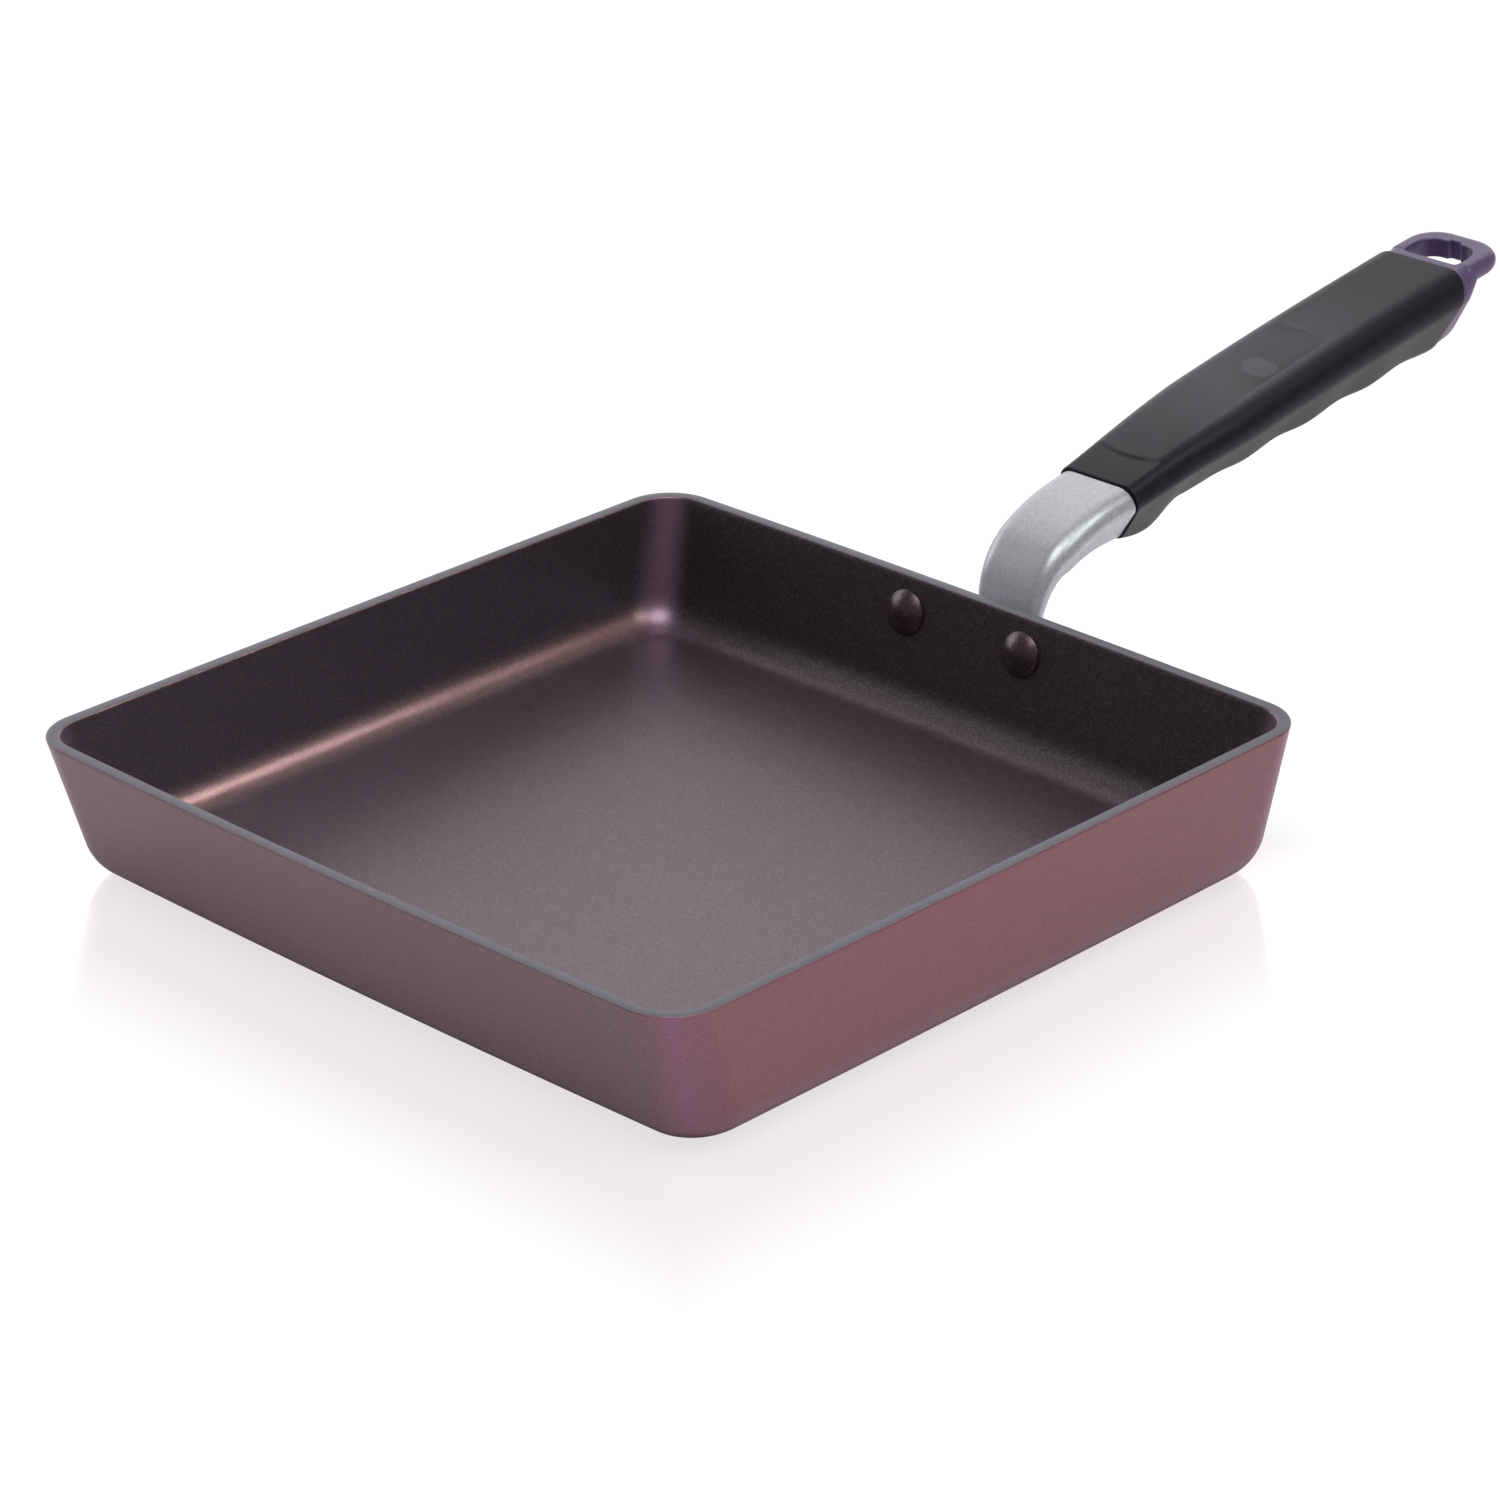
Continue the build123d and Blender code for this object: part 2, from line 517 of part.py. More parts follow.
def main():
    left, right = rivet_places()
    parts = {
        "pan_body": build_pan_body(),
        "neck_bracket": build_neck_bracket(),
        "flange_rivet_right": build_rivet(left),
        "flange_rivet_left": build_rivet(right),
        "handle_core": build_handle_core(),
        "grip_sleeve": build_grip_sleeve(),
        "handle_screw": build_screw(),
        "handle_washer": build_washer(),
    }
    os.makedirs("parts", exist_ok=True)
    for name, solid in parts.items():
        print(name, "solids", len(solid.solids()), "volume", round(solid.volume))
        export_step(solid, f"parts/{name}.step")


main()
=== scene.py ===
"""Looks of a square rolled-omelette pan with a riveted gooseneck and a sleeved grip.

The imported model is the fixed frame. Each class below holds one sub-assembly's sizes, models what shows
of its nodes as smooth meshes in the same place, and dresses them. Sizes are in millimetres in the row
frame: Z is up, X runs along the handle, and the origin is under the middle of the rim.
"""

import logging
import math
from collections.abc import Callable, Iterable, Sequence
from dataclasses import dataclass, field
from enum import Enum
from typing import Any

import bmesh
import bpy
from mathutils import Matrix, Vector

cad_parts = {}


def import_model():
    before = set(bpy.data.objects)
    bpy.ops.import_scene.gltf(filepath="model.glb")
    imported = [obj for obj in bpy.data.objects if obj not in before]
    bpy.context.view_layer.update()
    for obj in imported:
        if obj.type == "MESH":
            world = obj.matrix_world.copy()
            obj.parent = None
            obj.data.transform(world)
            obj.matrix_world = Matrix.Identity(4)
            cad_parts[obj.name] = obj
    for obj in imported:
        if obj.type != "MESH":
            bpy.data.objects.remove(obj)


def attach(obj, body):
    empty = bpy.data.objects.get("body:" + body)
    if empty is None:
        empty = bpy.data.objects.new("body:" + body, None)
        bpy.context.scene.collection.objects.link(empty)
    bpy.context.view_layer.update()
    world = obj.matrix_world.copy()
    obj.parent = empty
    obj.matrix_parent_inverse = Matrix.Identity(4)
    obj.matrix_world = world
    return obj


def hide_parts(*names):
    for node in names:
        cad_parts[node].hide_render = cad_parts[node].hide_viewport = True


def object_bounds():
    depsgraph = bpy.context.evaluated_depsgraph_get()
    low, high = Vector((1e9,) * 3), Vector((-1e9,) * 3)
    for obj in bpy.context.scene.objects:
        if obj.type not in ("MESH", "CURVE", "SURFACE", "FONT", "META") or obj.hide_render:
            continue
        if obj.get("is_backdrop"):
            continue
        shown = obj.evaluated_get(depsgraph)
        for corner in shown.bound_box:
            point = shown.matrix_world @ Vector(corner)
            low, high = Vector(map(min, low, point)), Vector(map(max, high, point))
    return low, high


log = logging.getLogger("pan")

MM = 0.001
WELD = 1e-4
SOFTENING = 0.5
BODY = "root"
WHITE = "#ffffff"

Point = tuple[float, float]
Corner = tuple[float, float, float]
Ring = list[Vector]
Colour = tuple[float, float, float, float]
Feeds = dict[Any, Any]
Mesh = bmesh.types.BMesh
Vert = bmesh.types.BMVert
Socket = bpy.types.NodeSocket
Outputs = bpy.types.bpy_prop_collection


class Slot(Enum):
    """The record's material slots."""

    PAN = "pan_coating"
    NECK = "neck_metal"
    RIVET = "rivet_coating"
    GRIP = "grip_black"
    CORE = "core_purple"
    STEEL = "fastener_steel"


def tan_deg(angle: float) -> float:
    """Tangent of an angle in degrees."""
    return math.tan(math.radians(angle))


def sin_deg(angle: float) -> float:
    """Sine of an angle in degrees."""
    return math.sin(math.radians(angle))


def cos_deg(angle: float) -> float:
    """Cosine of an angle in degrees."""
    return math.cos(math.radians(angle))


def between(start: float, end: float, share: float) -> float:
    """The value a share of the way from start to end."""
    return start + (end - start) * share


def ease(low: float, high: float, value: float) -> float:
    """A smooth step from 0 at low to 1 at high."""
    share = min(1.0, max(0.0, (value - low) / (high - low)))
    return share * share * (3 - 2 * share)


def spread(start: float, end: float, steps: int) -> list[float]:
    """Evenly spaced values from start to end, both included."""
    return [between(start, end, step / steps) for step in range(steps + 1)]


def linear(code: str) -> Colour:
    """Turns an sRGB hex colour into linear light.

    Args:
        code: six hex digits after a hash sign.

    Returns:
        Red, green, blue and an alpha of one.
    """
    parts = [int(code[place:place + 2], 16) / 255 for place in (1, 3, 5)]
    light = [part / 12.92 if part <= 0.04045 else ((part + 0.055) / 1.055) ** 2.4 for part in parts]
    return (light[0], light[1], light[2], 1.0)


# Node materials


def per_metre(size_mm: float) -> float:
    """Scale of a pattern whose cells are that many millimetres across."""
    return 1 / (size_mm * MM)


class Nodes:
    """A node tree, with a short call for each kind of node that the looks are made of."""

    def __init__(self, tree: bpy.types.NodeTree) -> None:
        """Empties the tree, and starts it with the coordinates that every look reads."""
        self.tree = tree
        tree.nodes.clear()
        self.place: Outputs = self.add("ShaderNodeTexCoord", {}).outputs

    def add(self, kind: str, feeds: Feeds) -> bpy.types.Node:
        """Adds one node.

        Args:
            kind: the node's type name.
            feeds: by property, socket name or socket number, a value or the socket that feeds it.

        Returns:
            The new node.
        """
        node = self.tree.nodes.new(kind)
        for key, feed in feeds.items():
            if isinstance(feed, Socket):
                self.tree.links.new(feed, node.inputs[key])
            elif isinstance(key, str) and hasattr(node, key):
                setattr(node, key, feed)
            else:
                node.inputs[key].default_value = feed
        return node

    def maths(self, operation: str, *values: Socket | float, clamp: bool = False) -> Socket:
        """The result of one operation on sockets or numbers."""
        feeds = {"operation": operation, "use_clamp": clamp, **dict(enumerate(values))}
        return self.add("ShaderNodeMath", feeds).outputs[0]

    def vectors(self, operation: str, *values: Socket | Corner) -> bpy.types.Node:
        """One operation on vectors."""
        return self.add("ShaderNodeVectorMath", {"operation": operation, **dict(enumerate(values))})

    def ranged(self, value: Socket, low: float, high: float, reach: Point | None = None) -> Socket:
        """Carries a value to between low and high.

        Args:
            value: the socket that is read.
            low: what its least value becomes.
            high: what its greatest value becomes.
            reach: its least and greatest value, joined by a smooth step, or none for an even 0 to 1.

        Returns:
            The result's socket.
        """
        feeds: Feeds = {"To Min": low, "To Max": high, "Value": value}
        if reach:
            feeds |= {"interpolation_type": "SMOOTHSTEP", "From Min": reach[0], "From Max": reach[1]}
        return self.add("ShaderNodeMapRange", feeds).outputs[0]

    def mix(self, share: Socket, start: Socket | str, end: str) -> Socket:
        """The colour a share of the way from one, a socket or a hex colour, to another."""
        first = linear(start) if isinstance(start, str) else start
        feeds = {"data_type": "RGBA", 0: share, 6: first, 7: linear(end)}
        return self.add("ShaderNodeMix", feeds).outputs[2]

    def noise(self, size_mm: float, detail: float) -> Socket:
        """Soft noise of 0 to 1 in the object's own coordinates, with lumps of that size."""
        feeds = {"Scale": per_metre(size_mm), "Detail": detail, "Vector": self.place["Object"]}
        return self.add("ShaderNodeTexNoise", feeds).outputs["Fac"]

    def flakes(self, size_mm: float) -> Outputs:
        """Red, green and blue sockets, each with a random 0 to 1 for every flake of that size."""
        feeds = {"Scale": per_metre(size_mm), "Vector": self.place["Object"]}
        cells = self.add("ShaderNodeTexVoronoi", feeds)
        return self.add("ShaderNodeSeparateColor", {0: cells.outputs["Color"]}).outputs

    def bump(self, height: Socket, strength: float, relief_mm: float) -> Socket:
        """The surface's normal, tilted by a relief that a height of 0 to 1 gives."""
        feeds = {"Strength": strength, "Distance": relief_mm * MM, "Height": height}
        return self.add("ShaderNodeBump", feeds).outputs[0]

    def split(self, others: bpy.types.Node, camera: bpy.types.Node) -> Socket:
        """One shader for rays straight from the camera, and another for all the others."""
        path = self.add("ShaderNodeLightPath", {})
        feeds = {0: path.outputs["Is Camera Ray"], 1: others.outputs[0], 2: camera.outputs[0]}
        return self.add("ShaderNodeMixShader", feeds).outputs[0]

    def surface(self, feeds: Feeds) -> None:
        """Ends the tree in a principled shader."""
        shader = self.add("ShaderNodeBsdfPrincipled", feeds)
        self.add("ShaderNodeOutputMaterial", {0: shader.outputs[0]})


def blank(name: str) -> tuple[bpy.types.Material, Nodes]:
    """A new material and its node tree."""
    material = bpy.data.materials.new(name)
    material.use_nodes = True
    return material, Nodes(material.node_tree)


@dataclass(frozen=True)
class FlakeCoat:
    """Baked coating with metallic or mica flake, sprayed on cast aluminium.

    The flake lies at all small angles, so the colour breaks into fine lighter and darker grains, and
    a clear top layer over it gives a broad soft gloss. Real flake of 0.03 mm is too fine to show, so
    it is drawn at the size of a grain that the eye still makes out. The colour also shifts with the
    way that the surface faces; that shift is partly painted sheen and painted highlight, fixed to the
    surface in place of the change of colour with the angle of light and view.
    """

    name: str
    up: str
    face: str
    side: str
    bend: str
    corner: str
    grain: str
    grain_share: float
    metallic: float
    roughness: float
    coat: float
    coat_roughness: float
    grain_power: float = 4.0
    flake_mm: float = 0.30
    flake_tilt: float = 0.09
    relief_mm: float = 0.05
    mottle_mm: float = 9.0
    mottle_detail: float = 3.0
    mottle: Point = (-0.02, 0.03)
    corner_power: float = 1.5
    level_floor: float = 0.02
    peak: float = 4.0

    def colour(self, nodes: Nodes) -> Socket:
        """Painted sheen by the way that the surface faces: walls, flats, and the bends and corners between.

        The product of two shares of a whole is a quarter at most, where they are equal, so the peak
        brings the painted tint of a bend or a corner to its full strength there.
        """
        normal = nodes.add("ShaderNodeSeparateXYZ", {0: nodes.place["Normal"]}).outputs
        sizes = (nodes.maths("ABSOLUTE", normal[axis]) for axis in "XYZ")
        along, across, rise = (nodes.maths("POWER", size, 2.0) for size in sizes)
        level = nodes.maths("ADD", nodes.maths("ADD", across, along), self.level_floor)
        even = nodes.maths("DIVIDE", nodes.maths("MULTIPLY", across, along), nodes.maths("POWER", level, 2.0))
        corner_sheen_share = nodes.maths("MULTIPLY", even, self.peak, clamp=True)
        slant = nodes.maths("POWER", nodes.maths("MULTIPLY", across, rise), 2.0)
        bend_sheen_share = nodes.maths("MULTIPLY", slant, self.peak ** 2, clamp=True)
        # Painted sheen and highlight tint: walls, flats, bends and corners get colours of their own, in place
        # of the flake's colour shift with light and view.
        wall = nodes.mix(across, self.face, self.side)
        curve = nodes.mix(bend_sheen_share, nodes.mix(rise, wall, self.up), self.bend)
        return nodes.mix(nodes.maths("POWER", corner_sheen_share, self.corner_power), curve, self.corner)

    def material(self) -> bpy.types.Material:
        """Builds the coating's material."""
        material, nodes = blank(self.name)
        pick = nodes.flakes(self.flake_mm)
        lit = nodes.maths("POWER", pick["Red"], self.grain_power)
        share = nodes.maths("MULTIPLY", lit, self.grain_share)
        cloud = nodes.noise(self.mottle_mm, self.mottle_detail)
        smooth, dull = (self.roughness + drift for drift in self.mottle)
        nodes.surface({"Metallic": self.metallic, "Coat Weight": self.coat,
                       "Coat Roughness": self.coat_roughness,
                       "Base Color": nodes.mix(share, self.colour(nodes), self.grain),
                       "Roughness": nodes.ranged(cloud, smooth, dull),
                       "Normal": nodes.bump(pick["Green"], self.flake_tilt, self.relief_mm)})
        return material


@dataclass(frozen=True)
class GroundMetal:
    """Rim faced off on a belt after coating: bare cast aluminium with fine scratches and a dull film."""

    name: str
    light: str
    dark: str
    metallic: float
    roughness: float
    scratch_mm: float = 0.35
    scratch_depth: float = 0.15
    detail: float = 4.0
    relief_mm: float = 0.02

    def material(self) -> bpy.types.Material:
        """Builds the ground rim's material."""
        material, nodes = blank(self.name)
        grain = nodes.noise(self.scratch_mm, self.detail)
        nodes.surface({"Metallic": self.metallic, "Roughness": self.roughness,
                       "Base Color": nodes.mix(grain, self.dark, self.light),
                       "Normal": nodes.bump(grain, self.scratch_depth, self.relief_mm)})
        return material


@dataclass(frozen=True)
class SilverPaint:
    """Silver stoving paint on a casting: coarse aluminium flake that sparkles, under a thin clear coat."""

    name: str
    light: str
    dark: str
    metallic: float
    roughness: float
    coat: float
    coat_roughness: float = 0.22
    drift: float = 0.06
    flake_mm: float = 0.26
    flake_tilt: float = 0.15
    relief_mm: float = 0.05

    def material(self) -> bpy.types.Material:
        """Builds the paint's material."""
        material, nodes = blank(self.name)
        pick = nodes.flakes(self.flake_mm)
        rough = nodes.ranged(pick["Blue"], self.roughness - self.drift, self.roughness + self.drift)
        nodes.surface({"Metallic": self.metallic, "Coat Weight": self.coat,
                       "Coat Roughness": self.coat_roughness,
                       "Base Color": nodes.mix(pick["Red"], self.dark, self.light), "Roughness": rough,
                       "Normal": nodes.bump(pick["Green"], self.flake_tilt, self.relief_mm)})
        return material


@dataclass(frozen=True)
class MouldedPlastic:
    """Heat-proof moulded plastic from a spark-eroded tool: an even fine grain that softens the gloss."""

    name: str
    light: str
    dark: str
    roughness: float
    specular: float
    grain_depth: float
    grain_mm: float = 0.30
    grain_detail: float = 3.0
    relief_mm: float = 0.04
    flow_mm: float = 24.0
    flow_detail: float = 2.0
    drift: float = 0.04

    def material(self) -> bpy.types.Material:
        """Builds the plastic's material."""
        material, nodes = blank(self.name)
        grain = nodes.noise(self.grain_mm, self.grain_detail)
        flow = nodes.noise(self.flow_mm, self.flow_detail)
        rough = nodes.ranged(flow, self.roughness - self.drift, self.roughness + self.drift)
        nodes.surface({"Specular IOR Level": self.specular, "Roughness": rough,
                       "Base Color": nodes.mix(flow, self.dark, self.light),
                       "Normal": nodes.bump(grain, self.grain_depth, self.relief_mm)})
        return material


# Painted sheen: the brown X walls, rose Y walls and violet corners stand in for the enamel's colour shift
# with angle, laid on its own mauve.
OUTSIDE = FlakeCoat("mica_enamel", up="#6c555a", bend="#7e505b", face="#6c555a", side="#82545f",
                    corner="#84586c", grain="#b98a96", grain_share=0.22, metallic=0.55,
                    roughness=0.44, coat=0.25, coat_roughness=0.30)
# Painted highlight: the copper bend tints the highlight along the floor's fillets to the Y walls, and the
# pink corner tints the highlight in the corners; the other tints are the non-stick's dark colour, set per
# facing.
INSIDE = FlakeCoat("nonstick_flake", up="#50444e", bend="#7c5c5b", face="#413a43", side="#564d58",
                   corner="#86687e", grain="#c09892", grain_share=0.22, metallic=0.70,
                   roughness=0.38, coat=0.42, coat_roughness=0.36)
# Painted highlight: the lighter up, bend and corner tints towards each dome's rim stand in for the heads'
# highlight; the darker face and side are their own colour.
HEADS = FlakeCoat("nonstick_on_rivet", up="#54404a", bend="#4a3842", face="#3a3037", side="#3a3037",
                  corner="#4a3842", grain="#c08f9c", grain_share=0.22, metallic=0.75,
                  roughness=0.32, coat=0.3, coat_roughness=0.28)
RIM = GroundMetal("ground_aluminium", light="#676770", dark="#4b4b52", metallic=0.7, roughness=0.38)
SILVER = SilverPaint("silver_stoving_paint", light="#c0c2c8", dark="#a5a7ae", metallic=0.44,
                     roughness=0.34, coat=0.15)
BLACK = MouldedPlastic("black_phenolic", light="#191921", dark="#15151c", roughness=0.40,
                       specular=0.20, grain_depth=0.20)
PURPLE = MouldedPlastic("purple_phenolic", light="#5b4a70", dark="#524163", roughness=0.30,
                        specular=0.40, grain_depth=0.12)
ZINC = GroundMetal("zinc_plated_steel", light="#c4c6c8", dark="#9fa2a5", metallic=0.95, roughness=0.30)


# Meshes


def rounded(corners: Sequence[Corner], arc_steps: int, side_steps: int) -> list[Point]:
    """Points round a closed outline with arcs at its corners.

    Args:
        corners: each corner's two coordinates and its radius, in order.
        arc_steps: runs along each arc.
        side_steps: runs along each straight side.

    Returns:
        The points, as many for any sizes, starting on the first corner's arc.
    """
    arcs: list[list[Vector]] = []
    for number, (x, y, radius) in enumerate(corners):
        here = Vector((x, y))
        back = (Vector(corners[number - 1][:2]) - here).normalized()
        ahead = (Vector(corners[(number + 1) % len(corners)][:2]) - here).normalized()
        half = back.angle(ahead) / 2
        middle = here + (back + ahead).normalized() * radius / math.sin(half)
        start = here + back * radius / math.tan(half) - middle
        end = here + ahead * radius / math.tan(half) - middle
        turn = math.atan2(start.x * end.y - start.y * end.x, start.dot(end))
        arcs.append([middle + Matrix.Rotation(turn * step / arc_steps, 2) @ start
                     for step in range(arc_steps + 1)])
    points: list[Point] = []
    for number, arc in enumerate(arcs):
        following = arcs[(number + 1) % len(arcs)][0]
        points += [(point.x, point.y) for point in arc]
        for step in range(1, side_steps):
            place = arc[-1].lerp(following, step / side_steps)
            points.append((place.x, place.y))
    return points


def ring_edges(mesh: Mesh, ring: Sequence[Vert]) -> list[bmesh.types.BMEdge]:
    """The edges that join a ring's points in order."""
    return [mesh.edges.get((ring[number - 1], ring[number])) for number in range(len(ring))]


def skin(mesh: Mesh, rings: Sequence[Ring],
         finish: Callable[[int], int] = lambda number: 0) -> list[list[Vert]]:
    """Extrudes a closed ring through a row of others.

    Args:
        mesh: the mesh that takes the skin.
        rings: rings of as many points each.
        finish: gives the material number of the band after each ring.

    Returns:
        The first and last rings of the skin.
    """
    first = bmesh.ops.create_circle(mesh, segments=len(rings[0]), radius=1)["verts"]
    first.sort(key=lambda vert: math.atan2(vert.co.y, vert.co.x))
    for vert, place in zip(first, rings[0]):
        vert.co = place
    ring = first
    for number, places in enumerate(rings[1:]):
        made = bmesh.ops.extrude_edge_only(mesh, edges=ring_edges(mesh, ring))["geom"]
        fresh = {item for item in made if isinstance(item, Vert)}
        for item in made:
            if isinstance(item, bmesh.types.BMFace):
                item.material_index = finish(number)
        following = []
        for old, place in zip(ring, places):
            new = next(edge.other_vert(old) for edge in old.link_edges if edge.other_vert(old) in fresh)
            new.co = place
            following.append(new)
        ring = following
    return [first, ring]


def cap(mesh: Mesh, ring: Sequence[Vert], finish: int = 0) -> None:
    """Closes a flat ring with one face."""
    made = bmesh.ops.contextual_create(mesh, geom=ring_edges(mesh, ring))
    for face in made["faces"]:
        face.material_index = finish


def closed(mesh: Mesh, rings: Sequence[Ring]) -> Mesh:
    """Adds a body to a mesh: a skin through the rings, with a face over each end."""
    for ring in skin(mesh, rings):
        cap(mesh, ring)
    return mesh


def across_at(x: float, outline: Iterable[Point]) -> Ring:
    """A ring square to X, from its outline's across and up."""
    return [Vector((x, across, up)) for across, up in outline]


def level_at(up: float, outline: Iterable[Point]) -> Ring:
    """A level ring, from its outline's along and across."""
    return [Vector((x, across, up)) for x, across in outline]


def oblong(low: float, high: float, half: float, low_radius: float,
           high_radius: float) -> list[Corner]:
    """Corners of a rectangle from low to high, as wide as twice the half, with a radius at each end."""
    return [(low, -half, low_radius), (high, -half, high_radius), (high, half, high_radius),
            (low, half, low_radius)]


def turned(profile: Sequence[Point], steps: int) -> Mesh:
    """Spins a profile of radius and height round Z.

    Args:
        profile: radius and height of each point.
        steps: runs round the axis.

    Returns:
        A closed mesh.
    """
    mesh = bmesh.new()
    verts = [mesh.verts.new((radius, 0, height)) for radius, height in profile]
    edges = [mesh.edges.new(pair) for pair in zip(verts, verts[1:])]
    bmesh.ops.spin(mesh, geom=verts + edges, cent=(0, 0, 0), axis=(0, 0, 1), dvec=(0, 0, 0),
                   angle=math.tau, steps=steps, use_merge=True, use_duplicate=False)
    bmesh.ops.remove_doubles(mesh, verts=mesh.verts, dist=WELD)
    return mesh


def settled(name: str, mesh: Mesh) -> bpy.types.Mesh:
    """Mesh data made from a working mesh, which is freed."""
    data = bpy.data.meshes.new(name)
    mesh.to_mesh(data)
    mesh.free()
    return data


def stand(name: str, data: bpy.types.ID) -> bpy.types.Object:
    """A new object in the scene with that data."""
    obj = bpy.data.objects.new(name, data)
    bpy.context.scene.collection.objects.link(obj)
    return obj


def carve(mesh: Mesh, steps: Sequence[tuple[Mesh, str]], voxel: float = 0.0,
          smoothing: int = 0) -> Mesh:
    """Joins other closed meshes to one, or cuts them out of it, and evens the result out if asked.

    Args:
        mesh: the mesh that is worked on, which is freed with the others.
        steps: each other mesh with UNION or DIFFERENCE, in order.
        voxel: size of the even grid that the result is remade on, or 0 to leave it.
        smoothing: rounds of smoothing after that.

    Returns:
        The new mesh.
    """
    objects = []
    for part in [mesh] + [other for other, _ in steps]:
        bmesh.ops.recalc_face_normals(part, faces=part.faces)
        objects.append(stand("carving", settled("carving", part)))
    whole = objects[0]
    for other, (_, operation) in zip(objects[1:], steps):
        change = whole.modifiers.new(operation, "BOOLEAN")
        change.operation = operation
        change.object = other
        change.solver = "EXACT"
    if voxel:
        even = whole.modifiers.new("even", "REMESH")
        even.mode = "VOXEL"
        even.voxel_size = voxel
        soft = whole.modifiers.new("soft", "SMOOTH")
        soft.factor = SOFTENING
        soft.iterations = smoothing
    bpy.context.view_layer.update()
    shaped = whole.evaluated_get(bpy.context.evaluated_depsgraph_get())
    result = bmesh.new()
    result.from_mesh(shaped.to_mesh())
    for obj in objects:
        bpy.data.objects.remove(obj)
    return result


def piece(mesh: Mesh, name: str, finishes: Iterable[bpy.types.Material],
          nodes: Sequence[str], place: Matrix | None = None, sharp: float = 40.0) -> bpy.types.Object:
    """Turns a mesh in millimetres into a piece that rides on the pan and stands for its nodes.

    Args:
        mesh: the finished mesh, which is freed.
        name: the piece's name.
        finishes: the materials, in the order of the faces' numbers.
        nodes: the nodes that it replaces.
        place: where the mesh goes in the row frame.
        sharp: the least angle between faces, in degrees, that stays a crisp edge.

    Returns:
        The piece's object.
    """
    bmesh.ops.remove_doubles(mesh, verts=mesh.verts, dist=WELD)
    bmesh.ops.recalc_face_normals(mesh, faces=mesh.faces)
    data = settled(name, mesh)
    data.transform(Matrix.Scale(MM, 4) @ (place or Matrix.Identity(4)))
    for finish in finishes:
        data.materials.append(finish)
    data.shade_smooth()
    data.set_sharp_from_angle(angle=math.radians(sharp))
    obj = stand(name, data)
    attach(obj, BODY)
    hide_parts(*nodes)
    log.info("%s: %d faces for %s", name, len(data.polygons), ", ".join(nodes))
    return obj


def frame_matrix(origin: Sequence[float], along: Sequence[float], up: Sequence[float]) -> Matrix:
    """A place whose X runs along, and whose Z is up, squared to it."""
    x_axis = Vector(along).normalized()
    y_axis = Vector(up).cross(x_axis).normalized()
    z_axis = x_axis.cross(y_axis)
    turn = Matrix((x_axis, y_axis, z_axis)).transposed().to_4x4()
    return Matrix.Translation(Vector(origin)) @ turn


# The pan


@dataclass
class Wall:
    """One wall's section, as how far it stands out from its foot at each height."""

    lean: float

    def fillet(self, radius: float, steps: int) -> list[Point]:
        """The rounding from the base up to this wall, as out and height from the wall's foot."""
        run = radius * tan_deg((90 - self.lean) / 2)
        angles = spread(0, 90 - self.lean, steps)
        return [(radius * sin_deg(angle) - run, radius * (1 - cos_deg(angle))) for angle in angles]

    def out(self, height: float) -> float:
        """How far the wall stands out at a height."""
        return height * tan_deg(self.lean)


